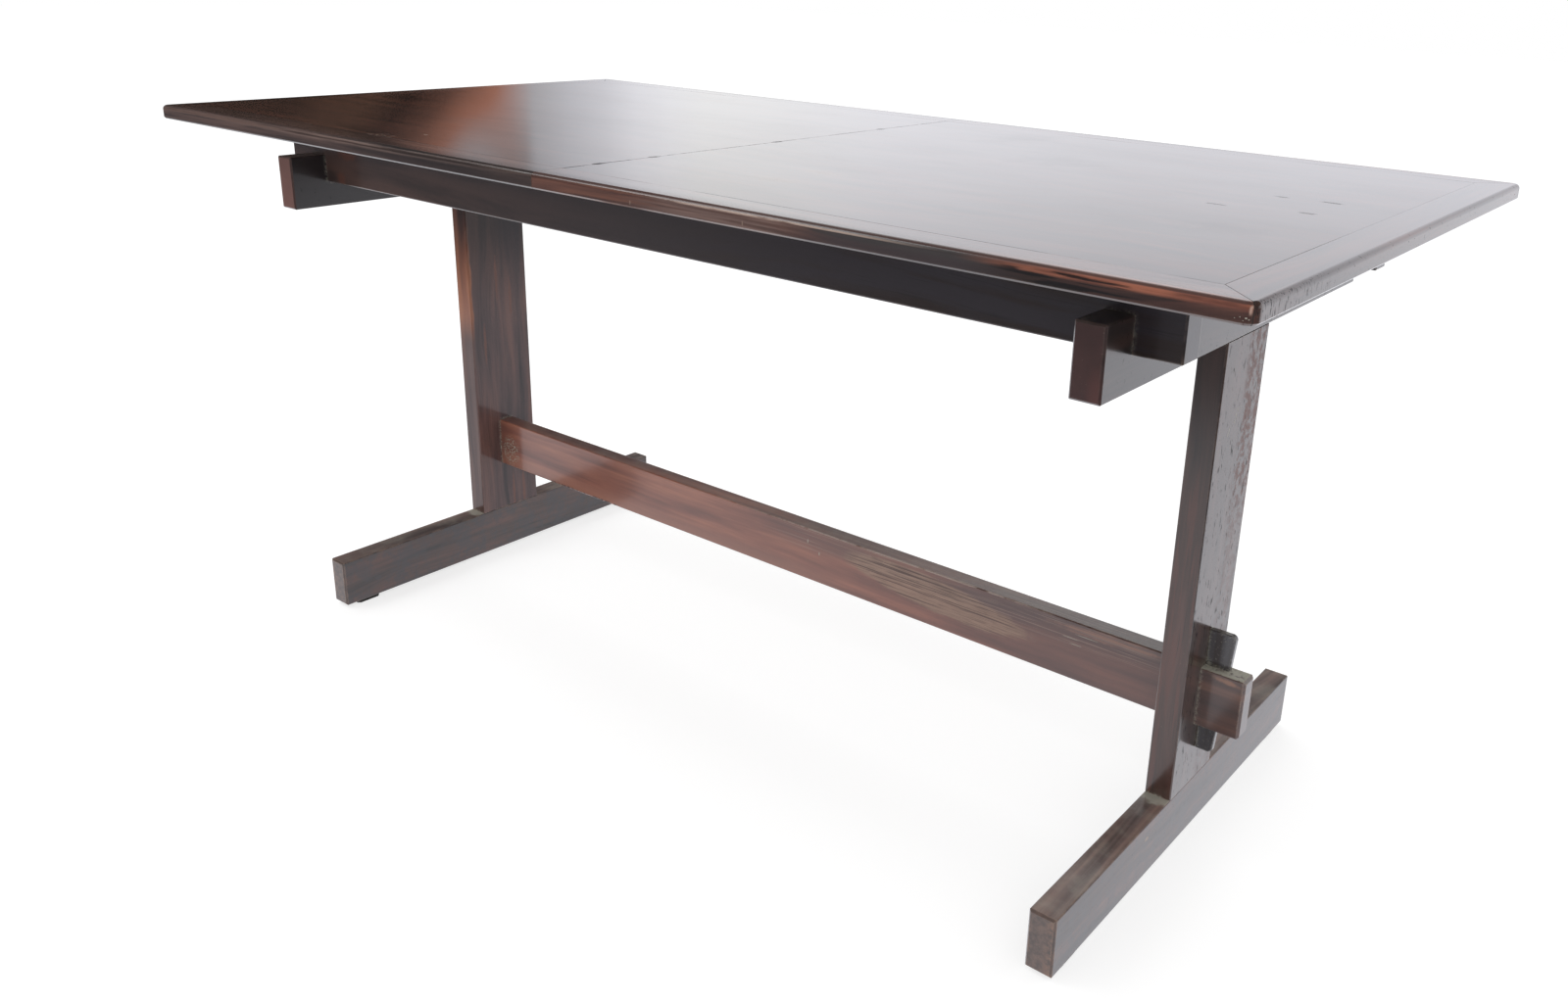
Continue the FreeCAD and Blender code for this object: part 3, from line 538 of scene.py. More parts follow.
def mark_front_rim(wood):
    """The nicks of the right front rim, and the chips and the painted highlight on the turn at its
    corner.
    """
    graph = wood.graph
    for x, z in RIM_NICKS:
        nick = wood.oval((x, FRONT_RIM, z), NICK_SIZE, 0.5, 400.0)
        wood.lay(graph.times(nick, 0.6), TAN, 0.9)
    for x, z, reach in CORNER_CHIPS:
        chip = wood.oval((x, CORNER_RIM, z), (reach, RIM_DEEP, 0.7 * reach), 0.5, 500.0)
        wood.lay(graph.times(chip, 0.9), CREAM, 0.8)
    # Painted highlight: a pale soft line on the corner's turn, in the upper part of the face
    turn = graph.between(wood.turned[0], (0.40, 0.54), (0.66, 0.56))
    upper, lower = HIGHLIGHT_HEIGHT
    rubbed = graph.times(turn, graph.step(wood.z, *upper), graph.step(wood.z, *lower), 0.9)
    wood.lay(rubbed, colour(0.55, 0.36, 0.29), 0.4)


def dark_rim(wood, face, low):
    """The left rails' rim, with a painted highlight along its upper edge."""
    graph = wood.graph
    upper = graph.between(wood.z, *RIM_HIGHLIGHT)
    wood.lay(graph.times(face, low, 0.6), colour(0.038, 0.026, 0.026))
    lines = streaks(graph, wood.place, 420.0, 60.0, 3.0)
    # Painted highlight: pale colour laid along the rim's upper band and rounding, broken by the grain's
    # streaks
    pale = graph.mix(
        graph.step(lines, 0.38, 0.60), colour(0.055, 0.036, 0.032), colour(0.235, 0.160, 0.138),
    )
    wood.lay(graph.times(upper, 0.7), pale)
    toward_end = graph.times(face, graph.step(wood.x, *TOWARD_END), graph.step(lines, 0.36, 0.56))
    wood.lay(graph.times(toward_end, 0.7), colour(0.130, 0.078, 0.066))
    toward_seam = graph.times(face, graph.step(wood.x, *TOWARD_SEAM))
    wood.lay(graph.times(toward_seam, 0.6), colour(0.030, 0.022, 0.022))


def long_rail_look(side, end, seed):
    tones = (UMBER, colour(0.080, 0.036, 0.030), colour(0.165, 0.070, 0.048))
    if side == "left":
        tones = (
            colour(0.016, 0.012, 0.012), colour(0.058, 0.036, 0.032), colour(0.135, 0.080, 0.066),
        )
    wood = Wood(f"{side}_{end}_rail_wood", "X", seed, tones, coarse=0.6, spread=0.12)
    graph = wood.graph
    near_edge = graph.step(graph.size(wood.y), *NEAR_RIM)
    wood.dullness = graph.blend_numbers(near_edge, 0.12, 0.30)
    face = graph.step(graph.size(wood.y), *RIM_FACE)
    low = graph.step(wood.z, *RIM_LOW)
    if side == "left":
        dark_rim(wood, face, low)
    else:
        copper_rim(wood, face, low)
        if end == "front":
            mark_front_rim(wood)
    wood.wear(0.2)
    joints(wood)
    return wood.finish(0.08)


# On the frame: stretches and places along X, Y or Z, as each line says
APRON_SMOKY, APRON_WARM, APRON_LOW = (0.45, -0.05), (0.10, -0.50), (0.735, 0.675)
APRON_FRONT = -0.281
# Painted reflections on the front apron: X, Z and the half size along X of each
APRON_REFLECTIONS = ((-0.578, 0.669, 0.014), (-0.560, 0.705, 0.030))
APRON_END, APRON_INNER = (0.6920, 0.6932), (0.2518, 0.2510)
BEARER_LOW, BEARER_RIGHT = (0.67, 0.64), (0.628, 0.640)
LEFT_INNER, LEFT_SHADED_HIGH, INNER_SPLIT = -0.6135, (0.40, 0.58), (-0.015, 0.030)
LEFT_STREAKS = ((-0.004, 0.479), (0.022, 0.441), (-0.032, 0.370), (0.008, 0.100), (0.029, 0.103))
STREAK_SIZE = (DEEP, 0.0035, 0.045)
SAPWOOD_EDGE, SAPWOOD = (-0.0575, -0.0610), ((0.61, 0.46), (0.37, 0.43))
FRONT_SPLIT, FRONT_RISE = (-0.628, -0.638), (0.22, 0.34)
OUTER_HIGH, OUTER_BACK = (0.36, 0.48), (-0.002, 0.018)
RIGHT_OUTER = 0.6455
SCRATCHES = (
    (-0.0100, 0.531), (-0.0075, 0.537), (-0.0050, 0.543), (-0.0250, 0.520), (-0.0225, 0.524),
)
SCRATCH_SIZE = (SHALLOW, 0.0011, 0.0040)
RIGHT_RED, RIGHT_SHADED = (0.56, 0.40), (0.42, 0.60)
FOOT_OUTER, FOOT_MARK, FOOT_MARK_SIZE = (0.632, 0.645), -0.112, (SHALLOW, 0.007, 0.0035)
FOOT_MARK_HEIGHT, FILM_X, FILM_Y, FILM_HEIGHT = 0.057, 0.6295, -0.060, 0.077
FILM_SIZE = (0.030, 0.016, 0.02)


def apron_look(end, seed):
    inky = colour(0.034, 0.028, 0.036)
    wood = Wood(end + "_apron_wood", "X", seed, (inky, inky, UMBER), coarse=0.9)
    graph = wood.graph
    smoky = graph.step(wood.x, *APRON_SMOKY)
    wood.lay(smoky, graph.mix(wood.broad, colour(0.042, 0.033, 0.036), colour(0.060, 0.048, 0.050)))
    warm = graph.times(graph.step(wood.x, *APRON_WARM), graph.step(wood.z, *APRON_LOW), 0.8)
    wood.lay(warm, graph.mix(
        graph.step(wood.broad, 0.38, 0.62), colour(0.052, 0.033, 0.029), colour(0.115, 0.064, 0.052),
    ))
    if end == "front":
        # Painted reflection: reddish-brown patches on the front apron's left, standing in for what its
        # polished face mirrors
        for x, z, reach in APRON_REFLECTIONS:
            patch = wood.oval((x, APRON_FRONT, z), (reach, DEEP, 0.010), 0.6, 60.0)
            wood.lay(graph.times(patch, 0.6), colour(0.150, 0.060, 0.042))
    # Painted highlight: a pale thin line along the inner arris of the apron's end
    painted_arris_highlight = graph.times(
        graph.step(graph.size(wood.x), *APRON_END), graph.step(graph.size(wood.y), *APRON_INNER),
    )
    wood.lay(painted_arris_highlight, colour(0.30, 0.29, 0.29), 0.4)
    wood.wear(0.4)
    wood.dust(0.4, 0.2)
    return wood.finish(0.12)


def bearer_look(side, seed):
    tones = (BLACK, UMBER, BROWN) if side == "right" else (UMBER, BROWN, BROWN)
    wood = Wood(side + "_bearer_wood", "Y", seed, tones)
    graph = wood.graph
    end_grain = graph.mix(wood.broad, colour(0.046, 0.017, 0.015), colour(0.080, 0.030, 0.026))
    low_right = graph.times(
        graph.step(wood.z, *BEARER_LOW), graph.step(wood.x, *BEARER_RIGHT), 0.6,
    )
    end_grain = graph.mix(low_right, end_grain, colour(0.115, 0.034, 0.027))
    if side == "left":
        end_grain = graph.mix(wood.broad, colour(0.175, 0.084, 0.070), colour(0.235, 0.112, 0.094))
    wood.lay(wood.front(), end_grain)
    scuffs = graph.times(wood.front(), wood.speckle(210.0, 0.66, 0.72), 0.6)
    wood.lay(scuffs, TAN, 0.8)
    flanks = wood.sideways()
    if side == "left":
        wood.lay(graph.times(flanks, 0.9), colour(0.020, 0.017, 0.019))
    pits = graph.noise(graph.vector("MULTIPLY", wood.place, (1.0, 1.0, 0.5)), 170.0, 3.0, 0.7)
    wood.lay(graph.times(flanks, graph.step(pits, 0.64, 0.70), 0.8), BLACK, 0.8, 0.5)
    wood.wear(0.4, colour(0.16, 0.115, 0.095))
    wood.dust(0.9, 0.35)
    return wood.finish(0.12, 1.60 if side == "right" else 1.45)


def mark_left_upright(wood):
    """The upper part of its inner face darkened as painted shade, its coppery streaks, and the sapwood
    up its edge.
    """
    graph = wood.graph
    inner = wood.rightward()
    # Painted shade: the upper inner face darker, as under the top
    high = graph.step(wood.z, *LEFT_SHADED_HIGH)
    inky_brown = wood.shades((
        colour(0.018, 0.011, 0.010), colour(0.034, 0.020, 0.018), colour(0.060, 0.032, 0.027),
    ))
    split = graph.mix(graph.step(wood.y, *INNER_SPLIT), inky_brown, colour(0.019, 0.013, 0.017))
    wood.lay(graph.times(inner, high, 0.9), split, None, 0.4)
    wood.dullness = 0.4
    for y, z in LEFT_STREAKS:
        streak = wood.oval((LEFT_INNER, y, z), STREAK_SIZE, 0.6, 60.0)
        wood.lay(graph.times(streak, inner, 0.7), colour(0.190, 0.075, 0.050))
    warm = wood.shades((
        colour(0.130, 0.054, 0.036), colour(0.290, 0.100, 0.050), colour(0.42, 0.165, 0.080),
    ))
    wander = graph.noise(graph.vector("MULTIPLY", wood.place, (0.0, 0.0, 1.0)), 14.0, 2.0)
    reach = graph.math("ADD", wood.y, graph.times(wander, -0.016))
    near_edge = graph.times(inner, graph.step(reach, *SAPWOOD_EDGE))
    sapwood = graph.layers(wood.front(), near_edge)
    heartwood = wood.shades((
        colour(0.034, 0.018, 0.017), colour(0.066, 0.032, 0.029), colour(0.120, 0.062, 0.052),
    ))
    wood.lay(wood.front(), heartwood)
    left_part = graph.times(wood.front(), graph.step(wood.x, *FRONT_SPLIT))
    wood.lay(
        graph.times(left_part, graph.step(wood.z, *FRONT_RISE), 0.7), colour(0.150, 0.062, 0.044),
    )
    above, below = SAPWOOD
    wood.lay(graph.times(sapwood, graph.step(wood.z, *above), graph.step(wood.z, *below)), warm)


def mark_right_upright(wood):
    """The dashes, rusty blots and scratches of its outer face, and the red in its front edge."""
    graph = wood.graph
    outer = wood.rightward()
    dashes = graph.noise(graph.vector("MULTIPLY", wood.place, (1.0, 1.0, 0.25)), 260.0, 3.0, 0.6)
    wood.lay(graph.times(outer, graph.step(dashes, 0.60, 0.66), 0.8), BLACK, 0.8, 0.6)
    high = graph.math("ADD", 0.3, graph.times(graph.step(wood.z, *OUTER_HIGH), 0.6))
    back = graph.times(outer, graph.step(wood.y, *OUTER_BACK), high)
    blots = graph.step(graph.noise(wood.place, 95.0, 5.0, 0.7), 0.44, 0.58)
    wood.lay(graph.times(back, blots), colour(0.175, 0.062, 0.042), 0.6, 0.5)
    for y, z in SCRATCHES:
        scratch = wood.oval((RIGHT_OUTER, y, z), SCRATCH_SIZE, 0.5, 300.0)
        wood.lay(graph.times(scratch, outer, 0.9), CREAM, 0.9, 0.6)
    flow = graph.vector("MULTIPLY", wood.place, (1.0, 1.0, 0.06))
    red = graph.times(
        wood.front(), graph.step(graph.noise(flow, 150.0, 3.0), 0.48, 0.62),
        graph.step(wood.z, *RIGHT_RED), 0.6,
    )
    wood.lay(red, colour(0.120, 0.042, 0.030))
    wood.lay(graph.times(wood.front(), wood.speckle(230.0, 0.71, 0.75), 0.6), TAN, 0.8)
    wood.lay(graph.times(wood.front(), graph.step(wood.z, *RIGHT_SHADED), 0.5), BLACK)


def upright_look(side, seed):
    tones = (UMBER, BROWN, colour(0.10, 0.047, 0.038))
    if side == "left":
        tones = (
            colour(0.034, 0.023, 0.025), colour(0.100, 0.058, 0.057), colour(0.180, 0.092, 0.078),
        )
    wood = Wood(side + "_upright_wood", "Z", seed, tones, coarse=0.85)
    if side == "left":
        mark_left_upright(wood)
    else:
        mark_right_upright(wood)
    wood.wear(0.5)
    wood.dust(0.9, 0.2)
    return wood.finish(0.13, 1.5, 1.25 if side == "left" else None)


def foot_look(side, seed):
    wood = Wood(side + "_foot_wood", "Y", seed, (BLACK, BROWN, RUSSET), coarse=0.7)
    graph = wood.graph
    wood.dullness = 0.42
    worn_top = wood.shades((
        colour(0.075, 0.050, 0.046), colour(0.165, 0.108, 0.095), colour(0.270, 0.175, 0.145),
    ))
    wood.lay(graph.times(wood.above(), 0.85), worn_top, 0.7)
    flanks = wood.sideways()
    blotches = graph.step(graph.noise(wood.place, 45.0, 5.0, 0.7), 0.42, 0.60)
    wood.lay(graph.times(flanks, blotches, 0.7), colour(0.040, 0.036, 0.042))
    wood.lay(graph.times(flanks, wood.speckle(260.0, 0.64, 0.70), 0.6), BLACK, 0.8, 0.4)
    ends = graph.step(graph.size(wood.turned[1]), *FACING)
    mottle = graph.noise(wood.place, 130.0, 5.0, 0.7)
    mottled = graph.mix(
        graph.step(mottle, 0.30, 0.70), colour(0.085, 0.066, 0.062), colour(0.185, 0.120, 0.098),
    )
    outer = graph.step(graph.size(wood.x), *FOOT_OUTER)
    ruddy = graph.times(outer, graph.step(mottle, 0.40, 0.60), 0.6)
    mottled = graph.mix(ruddy, mottled, colour(0.28, 0.150, 0.100))
    wood.lay(ends, mottled, 0.7)
    if side == "right":
        mark = wood.oval((RIGHT_OUTER, FOOT_MARK, FOOT_MARK_HEIGHT), FOOT_MARK_SIZE, 0.6, 160.0)
        wood.lay(mark, TAN, 0.8)
    hand = 1.0 if side == "right" else -1.0
    film = wood.oval((FILM_X * hand, FILM_Y, FILM_HEIGHT), FILM_SIZE, 0.5, 90.0)
    wood.lay(graph.times(film, wood.above(), 0.7), CREAM, 0.9, 0.6)
    wood.wear(0.9, colour(0.30, 0.19, 0.135))
    wood.dust(0.7, 0.25)
    return wood.finish(0.20)


def key_look(side, seed):
    inky = colour(0.054, 0.050, 0.056)
    wood = Wood(side + "_key_wood", "Z", seed, (inky, inky, UMBER), coarse=0.8)
    graph = wood.graph
    wood.lay(graph.times(wood.speckle(420.0, 0.62, 0.68), 0.6), CREAM, 0.9)
    wood.wear(0.8, colour(0.34, 0.33, 0.31))
    wood.dust(1.0, 0.5)
    return wood.finish(0.14)


# On the stretcher: where its front face stands, and stretches along X or Z, as each line says
STRETCHER_FRONT = -0.013
LOW_LEFT = ((0.186, 0.164), (0.20, 0.0))
RIGHT_PART = (0.22, 0.50)
TOP_FROM, TOP_HEIGHT, TOP_TO = (-0.10, 0.12), (0.196, 0.216), (0.66, 0.62)
RUBBED, RUBBED_SIZE, RUBBED_TILT = (0.275, STRETCHER_FRONT, 0.2035), (0.158, DEEP, 0.026), -0.07
STROKES_HEIGHT, STROKES = (0.196, 0.210), ((-0.05, 0.10), (0.62, 0.55))
WARM, WARM_SIZE, WARM_TILT = (0.530, STRETCHER_FRONT, 0.227), (0.095, DEEP, 0.008), 0.03
ARRIS_HEIGHT, ARRIS_FRONT = (0.2330, 0.2338), (-0.0112, -0.0122)
ARRIS_FROM, ARRIS_TO = (-0.20, 0.12), (0.48, 0.36)
CRUMBS, CRUMBS_SIZE = (-0.588, STRETCHER_FRONT, 0.184), (0.024, DEEP, 0.030)
# Nicks: X, Z and the half sizes along them
NICKS = (
    (0.061, 0.215, 0.0010, 0.0035), (0.082, 0.202, 0.0010, 0.0030),
    (0.478, 0.212, 0.0140, 0.0005), (0.500, 0.219, 0.0180, 0.0005), (0.486, 0.205, 0.0100, 0.0005),
)
RAGGED_HEIGHT, RAGGED_FROM, RAGGED_TO = (0.1610, 0.1580), (-0.50, -0.47), (-0.30, -0.33)
TENON = (0.640, 0.646)
BAND, BAND_SIZE, BAND_TILT = (0.678, STRETCHER_FRONT, 0.2265), (0.024, DEEP, 0.0045), -0.08


def rub_stretcher(wood, scored):
    """The lens-shaped patch rubbed bare on the front, with the strokes and warm wood beside it."""
    graph = wood.graph
    rubbed = wood.oval(RUBBED, RUBBED_SIZE, 0.20, 16.0, RUBBED_TILT)
    fine = graph.step(streaks(graph, wood.place, 1500.0, 40.0, 2.0), 0.50, 0.42)
    bare = graph.mix(
        graph.layers(graph.step(scored, 0.47, 0.38), graph.times(fine, 0.55)),
        graph.mix(wood.broad, colour(0.32, 0.200, 0.150), colour(0.43, 0.295, 0.225)),
        colour(0.11, 0.066, 0.052),
    )
    wood.lay(graph.times(rubbed, wood.front(), 0.85), bare, 0.75, 0.3)
    start, end = STROKES
    strokes = graph.times(
        graph.step(scored, 0.56, 0.62), graph.step(wood.z, *STROKES_HEIGHT),
        graph.step(wood.x, *start), graph.step(wood.x, *end), 0.45,
    )
    wood.lay(strokes, colour(0.36, 0.25, 0.20), 0.6)
    warm = wood.oval(WARM, WARM_SIZE, 0.5, 40.0, WARM_TILT)
    wood.lay(graph.times(warm, graph.step(scored, 0.58, 0.44), 0.6), colour(0.36, 0.185, 0.125))
    arris = graph.times(graph.step(wood.z, *ARRIS_HEIGHT), graph.step(wood.y, *ARRIS_FRONT))
    rubbed_arris = graph.times(
        arris, graph.step(wood.x, *ARRIS_FROM), graph.step(wood.x, *ARRIS_TO),
        graph.step(graph.noise(wood.place, 40.0, 4.0, 0.7), 0.35, 0.50),
    )
    wood.lay(graph.times(rubbed_arris, 0.8), colour(0.55, 0.44, 0.39), 0.5)


def stretcher_look(seed):
    tones = (colour(0.150, 0.056, 0.040), colour(0.245, 0.090, 0.060), colour(0.37, 0.142, 0.088))
    wood = Wood(
        "stretcher_wood", "X", seed, tones, coarse=0.85, spread=0.15, open_pores=0.2, waves=0.03,
    )
    graph = wood.graph
    scored = streaks(graph, wood.place, 640.0, 90.0, 3.0)
    height, stretch = LOW_LEFT
    lower_left = graph.times(graph.step(wood.z, *height), graph.step(wood.x, *stretch))
    wood.lay(graph.times(lower_left, 0.6), colour(0.34, 0.150, 0.105))
    wood.lay(graph.times(graph.step(wood.x, *RIGHT_PART), 0.75), wood.shades((
        colour(0.050, 0.030, 0.028), colour(0.088, 0.046, 0.042), colour(0.120, 0.056, 0.048),
    )))
    # Painted shade: the top and upper front of the stretcher's middle darker, as under the table
    painted_dark_top = graph.times(
        graph.step(wood.x, *TOP_FROM), graph.step(wood.z, *TOP_HEIGHT), graph.step(wood.x, *TOP_TO),
    )
    wood.lay(graph.times(painted_dark_top, 0.5), colour(0.060, 0.036, 0.034))
    rub_stretcher(wood, scored)
    front = wood.front()
    crumbs = wood.oval(CRUMBS, CRUMBS_SIZE, 0.4, 60.0)
    wood.lay(graph.times(crumbs, front, wood.speckle(300.0, 0.53, 0.59)), CREAM, 0.9)
    for x, z, long_way, tall in NICKS:
        nick = wood.oval((x, STRETCHER_FRONT, z), (long_way, DEEP, tall), 0.4, 300.0)
        wood.lay(graph.times(nick, front, 0.8), CREAM, 0.9)
    ragged = graph.times(
        graph.step(wood.z, *RAGGED_HEIGHT), graph.step(wood.x, *RAGGED_FROM),
        graph.step(wood.x, *RAGGED_TO), wood.speckle(120.0, 0.45, 0.55),
    )
    wood.lay(ragged, BLACK, 0.8, 0.5)
    tenon = graph.step(graph.size(wood.x), *TENON)
    wood.lay(graph.times(tenon, 0.8), wood.shades((
        colour(0.040, 0.027, 0.026), colour(0.080, 0.046, 0.040), colour(0.18, 0.092, 0.066),
    )))
    band = wood.oval(BAND, BAND_SIZE, 0.7, 60.0, BAND_TILT)
    wood.lay(graph.times(band, tenon, 0.75), colour(0.34, 0.165, 0.100))
    dusty = graph.times(tenon, wood.above(), wood.speckle(150.0, 0.30, 0.5))
    wood.lay(dusty, CREAM, 0.95, 0.8)
    wood.wear(0.9)
    wood.dust(1.0, 0.2)
    return wood.finish(0.13)


# Where each kind of piece starts in the noise, so that no two pieces show the same figure
SEEDS = {
    "runner": 0.0, "panel": 2.0, "end_rail": 5.0, "long_rail": 8.0, "bearer": 13.0,
    "upright": 15.0, "foot": 17.0, "key": 20.0, "pegs": 23.0, "apron": 26.0, "batten": 28.0,
    "stretcher": 30.0, "dowels": 31.0,
}
# How wide the arrises are eased
LEAF_ARRIS, FRAME_ARRIS, STRETCHER_ARRIS = 0.0006, 0.0008, 0.0010


def dress_leaf(side, number):
    dress(side + "_panel", panel_look(side, SEEDS["panel"] + number))
    soften(side + "_panel", LEAF_ARRIS)
    dress(side + "_end_rail", end_rail_look(side, SEEDS["end_rail"] + number))
    soften(side + "_end_rail", LEAF_ARRIS)
    for end_number, end in enumerate(ENDS):
        rail, runner = f"{side}_{end}_rail", f"{side}_{end}_runner"
        seed = SEEDS["long_rail"] + len(ENDS) * number + end_number
        dress(rail, long_rail_look(side, end, seed))
        soften(rail, LEAF_ARRIS)
        dress(runner, plain_wood(runner + "_wood", "X", SEEDS["runner"] + number))
    dress(side + "_stop_pegs", plain_wood(side + "_peg_wood", "Z", SEEDS["pegs"] + number))


def dress_table():
    for number, side in enumerate(SIDES):
        dress_leaf(side, number)
        for end in ENDS:
            dress(f"{side}_{end}_pad", felt(f"{side}_{end}_pad_felt"))
        dress(side + "_bearer", bearer_look(side, SEEDS["bearer"] + number))
        dress(side + "_upright", upright_look(side, SEEDS["upright"] + number))
        dress(side + "_foot", foot_look(side, SEEDS["foot"] + number))
        dress(side + "_key", key_look(side, SEEDS["key"] + number))
        for piece in ("_bearer", "_foot", "_key"):
            soften(side + piece, FRAME_ARRIS, 3)
        for name in ("_runner_screws", "_bearer_screws"):
            dress(side + name, steel(side + name + "_steel"))
    for number, end in enumerate(ENDS):
        dress(end + "_apron", apron_look(end, SEEDS["apron"] + number))
        soften(end + "_apron", FRAME_ARRIS)
        dress(end + "_batten", plain_wood(end + "_batten_wood", "X", SEEDS["batten"] + number))
        dress(end + "_batten_screws", steel(end + "_batten_screws_steel"))
    dress("stretcher", stretcher_look(SEEDS["stretcher"]))
    soften("stretcher", STRETCHER_ARRIS, 3)
    dress("seam_dowels", plain_wood("seam_dowels_wood", "X", SEEDS["dowels"]))


# Room, light and camera

FULL_TURN = 360.0
DEGREES = 180.0 / math.pi
FLOOR_SIZE = 40.0
FLOOR_COLOUR = colour(0.80, 0.80, 0.80)
ROOM_LIGHT = 0.9
WHITE = colour(1.0, 1.0, 1.0)
PAPER = colour(0.90, 0.90, 0.95)
DIM = colour(0.050, 0.045, 0.045)
GLOOM = colour(0.12, 0.115, 0.125)
# What the polish shows of the room: a direction in degrees from +X towards +Y, and its colour
SURROUNDINGS = (
    (10.0, DIM), (38.0, PAPER), (97.0, colour(0.85, 0.85, 0.91)), (116.0, colour(0.86, 0.86, 0.91)),
    (126.0, colour(0.94, 0.94, 0.99)), (131.0, colour(0.98, 0.98, 1.0)),
    (134.0, colour(0.99, 0.99, 1.0)), (136.0, colour(0.94, 0.94, 0.98)),
    (137.7, colour(0.80, 0.80, 0.85)), (138.9, colour(0.60, 0.60, 0.64)),
    (140.3, colour(0.55, 0.55, 0.59)), (140.9, colour(0.50, 0.495, 0.52)),
    (141.3, colour(0.37, 0.36, 0.38)), (141.6, colour(0.19, 0.178, 0.190)),
    (141.9, colour(0.165, 0.140, 0.145)), (142.25, colour(0.22, 0.125, 0.105)),
    (142.5, colour(0.34, 0.145, 0.098)),
    (142.8, colour(0.45, 0.185, 0.112)), (143.2, colour(0.39, 0.155, 0.092)),
    (143.6, colour(0.20, 0.085, 0.053)), (144.0, colour(0.055, 0.032, 0.027)),
    (144.8, colour(0.010, 0.008, 0.008)),
    (145.6, colour(0.014, 0.010, 0.009)), (146.4, colour(0.060, 0.034, 0.024)),
    (148.0, colour(0.060, 0.034, 0.024)), (149.4, colour(0.030, 0.019, 0.015)),
    (165.0, colour(0.034, 0.020, 0.015)), (290.0, DIM),
)
# The direction at which the ring of surroundings opens, all in degrees
RING_START = -60.0
# The ring leans with height, little on its right and more from the copper band leftward
LEAN_HEIGHT, LEAN, MORE_LEAN, LEAN_GROWS = 5.0, 0.05, 0.85, (141.5, 144.3)
# Where it dims: with height, in the left part, and below the ceiling, which comes lower leftward
DIMS, DIM_SHARE = (6.0, 14.0), 0.13
LEFT_DIMS, LEFT_FROM, LEFT_SHARE = (5.5, 9.0), (141.0, 141.6), 0.35
CEILING, CEILING_FALLS, CEILING_FALL = (20.0, 28.0), 95.0, 0.25


def make_room():
    """White surroundings with a darker side and ceiling, which only the polish shows."""
    world = bpy.data.worlds.new("room")
    bpy.context.scene.world = world
    world.use_nodes = True
    graph = Graph(world.node_tree)
    way = graph.split(graph.add("TexCoord").outputs["Generated"])
    turn = graph.math("MULTIPLY", graph.math("ARCTAN2", way[1], way[0]), DEGREES)
    ring = {0: turn, 1: RING_START + FULL_TURN, 2: RING_START}
    turn = graph.add("Math", ring, operation="WRAP").outputs[0]
    lift = graph.math("MULTIPLY", graph.math("ARCSINE", way[2]), DEGREES)
    slant = graph.math("ADD", LEAN, graph.times(graph.step(turn, *LEAN_GROWS), MORE_LEAN))
    shift = graph.times(graph.math("SUBTRACT", LEAN_HEIGHT, lift), slant)
    along = graph.math("ADD", graph.math("ADD", turn, shift), -RING_START)
    stops = tuple(((degrees - RING_START) / FULL_TURN, tint) for degrees, tint in SURROUNDINGS)
    seen = graph.ramp(graph.math("DIVIDE", along, FULL_TURN), stops)
    seen = graph.mix(graph.times(graph.step(lift, *DIMS), DIM_SHARE), seen, DIM)
    left = graph.times(graph.step(lift, *LEFT_DIMS), graph.step(turn, *LEFT_FROM))
    seen = graph.mix(graph.times(left, LEFT_SHARE), seen, DIM)
    leftward = graph.math("MAXIMUM", graph.math("SUBTRACT", turn, CEILING_FALLS), 0.0)
    height = graph.math("ADD", lift, graph.times(leftward, CEILING_FALL))
    seen = graph.mix(graph.step(height, *CEILING), seen, DIM)
    rays = graph.add("LightPath").outputs
    tint = graph.mix(rays["Is Camera Ray"], seen, WHITE)
    shown = graph.layers(rays["Is Camera Ray"], rays["Is Glossy Ray"])
    plain = graph.add("Background", {"Color": WHITE, "Strength": ROOM_LIGHT})
    bright = graph.add("Background", {"Color": tint, "Strength": 1.0})
    both = graph.add("MixShader", {0: shown, 1: plain.outputs[0], 2: bright.outputs[0]})
    graph.add("OutputWorld", {0: both.outputs[0]})
    world.cycles.sampling_method = "NONE"


# The pale part of the floor, as the polish sees it: where it comes from the front, from the left,
# from the right, and behind the slanting line at the back right
FLOOR_FRONT, FLOOR_LEFT, FLOOR_RIGHT, FLOOR_BEHIND = (-2.0, -1.3), (-2.6, -1.8), (1.6, 1.1), (-1.8, -0.9)
FLOOR_FAINT, FLOOR_GLOW = colour(0.45, 0.45, 0.45), 0.70


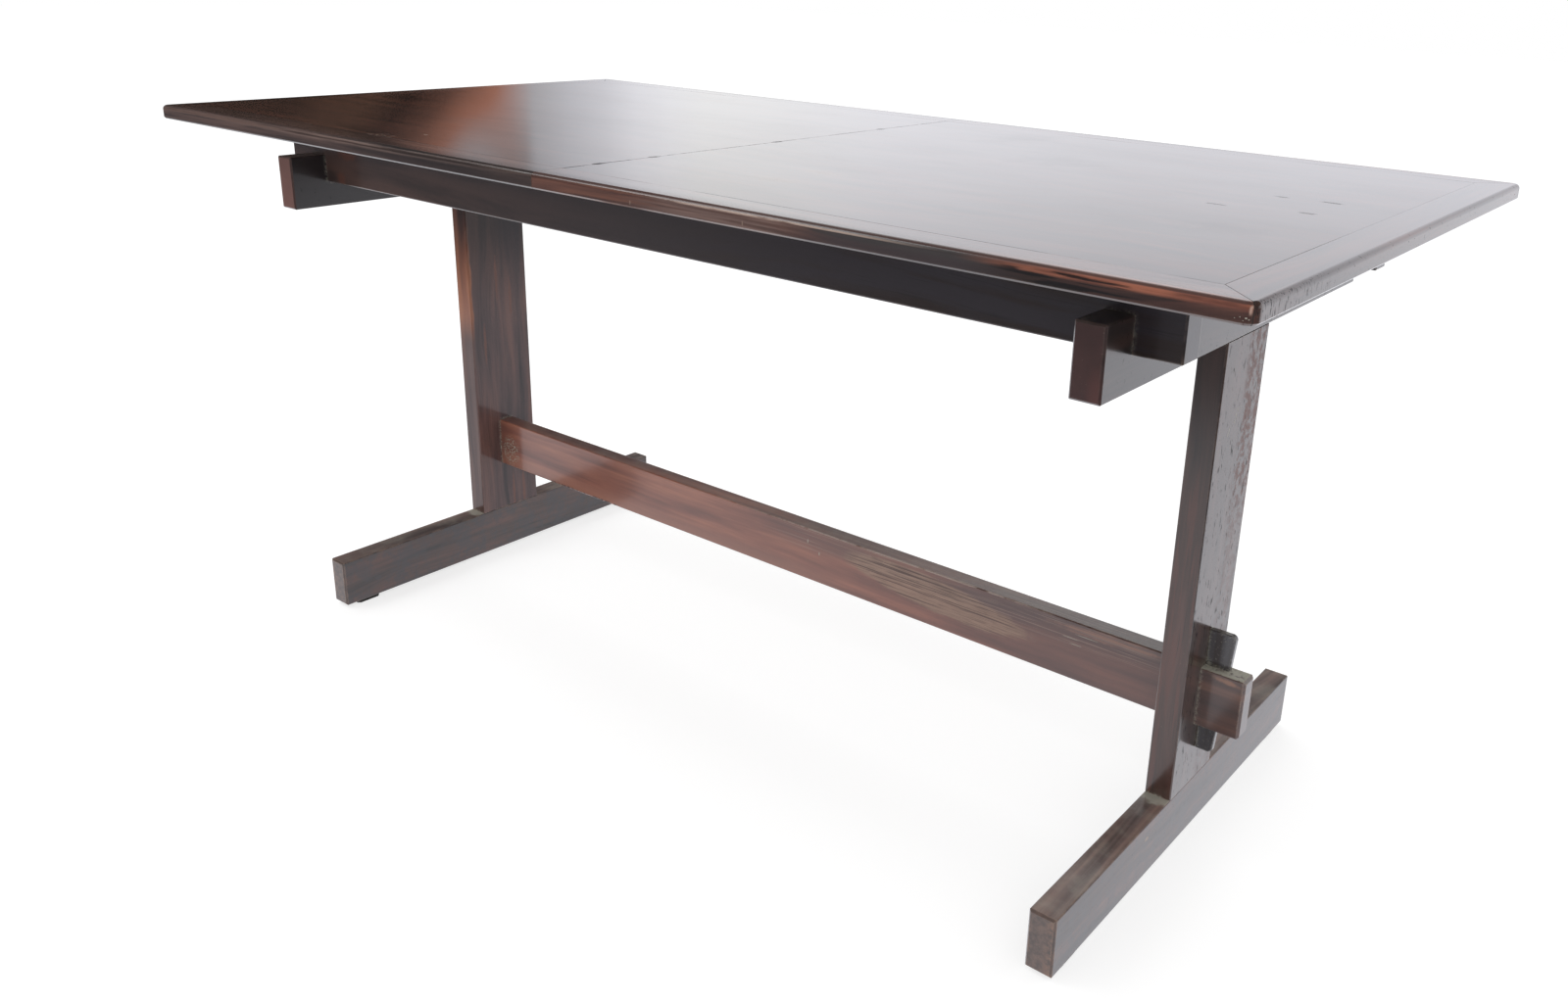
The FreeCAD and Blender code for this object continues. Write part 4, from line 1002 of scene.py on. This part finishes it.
def make_floor():
    """A pale floor that keeps the table's shadow, and that the polish sees end at the front."""
    half = FLOOR_SIZE / 2
    mesh = bpy.data.meshes.new("floor")
    corners = [(-half, -half, 0), (half, -half, 0), (half, half, 0), (-half, half, 0)]
    mesh.from_pydata(corners, [], [(0, 1, 2, 3)])
    floor = bpy.data.objects.new("floor", mesh)
    bpy.context.scene.collection.objects.link(floor)
    material, graph = new_material("floor_paint")
    place = graph.split(graph.add("TexCoord").outputs["Object"])
    rays = graph.add("LightPath").outputs
    shade = graph.add("BsdfDiffuse", {"Color": FLOOR_COLOUR})
    faint = graph.add("BsdfDiffuse", {"Color": FLOOR_FAINT})
    glow = graph.add("Emission", {"Color": WHITE, "Strength": FLOOR_GLOW})
    lit = graph.add("AddShader", {0: faint.outputs[0], 1: glow.outputs[0]})
    behind = graph.math("SUBTRACT", place[1], place[0])
    sweep = graph.times(
        graph.step(place[1], *FLOOR_FRONT), graph.step(place[0], *FLOOR_LEFT),
        graph.layers(graph.step(place[0], *FLOOR_RIGHT), graph.step(behind, *FLOOR_BEHIND)),
    )
    mirrored = graph.add("Emission", {"Color": graph.mix(sweep, GLOOM, PAPER), "Strength": 1.0})
    plain = graph.add(
        "MixShader", {0: rays["Is Glossy Ray"], 1: shade.outputs[0], 2: mirrored.outputs[0]},
    )
    both = graph.add(
        "MixShader", {0: rays["Is Camera Ray"], 1: plain.outputs[0], 2: lit.outputs[0]},
    )
    graph.add("OutputMaterial", {"Surface": both.outputs[0]})
    mesh.materials.append(material)


# Soft boxes, each turned to the middle of the floor: name, place, width and power in watts
LAMPS = (
    ("back_soft_box", (-1.2, 2.2, 2.8), 2.5, 18.0),
    ("front_soft_box", (-1.6, -1.4, 2.6), 1.2, 14.0),
)


def make_lamps():
    for name, place, size, power in LAMPS:
        data = bpy.data.lights.new(name, "AREA")
        data.shape = "RECTANGLE"
        data.size, data.size_y = size, size
        data.energy = power
        lamp = bpy.data.objects.new(name, data)
        lamp.location = place
        lamp.rotation_euler = (-lamp.location).to_track_quat("-Z", "Y").to_euler()
        bpy.context.scene.collection.objects.link(lamp)


def make_camera():
    data = bpy.data.cameras.new("camera")
    data.sensor_width = SENSOR_WIDTH
    width, height = IMAGE_SIZE
    data.lens = FOCAL_PIXELS / width * SENSOR_WIDTH
    data.shift_x = (width / 2 - PRINCIPAL_PIXEL[0]) / width
    data.shift_y = (PRINCIPAL_PIXEL[1] - height / 2) / width
    data.clip_start = 0.05
    camera = bpy.data.objects.new("camera", data)
    turn = Matrix.Rotation(math.radians(CAMERA_YAW), 4, "Z")
    turn @= Matrix.Rotation(math.radians(90.0 - CAMERA_PITCH), 4, "X")
    turn @= Matrix.Rotation(math.radians(CAMERA_ROLL), 4, "Z")
    camera.matrix_world = Matrix.Translation(CAMERA_PLACE) @ turn
    bpy.context.scene.collection.objects.link(camera)
    bpy.context.scene.camera = camera


bpy.context.scene.view_settings.view_transform = "Standard"
dress_table()
make_room()
make_floor()
make_lamps()
make_camera()
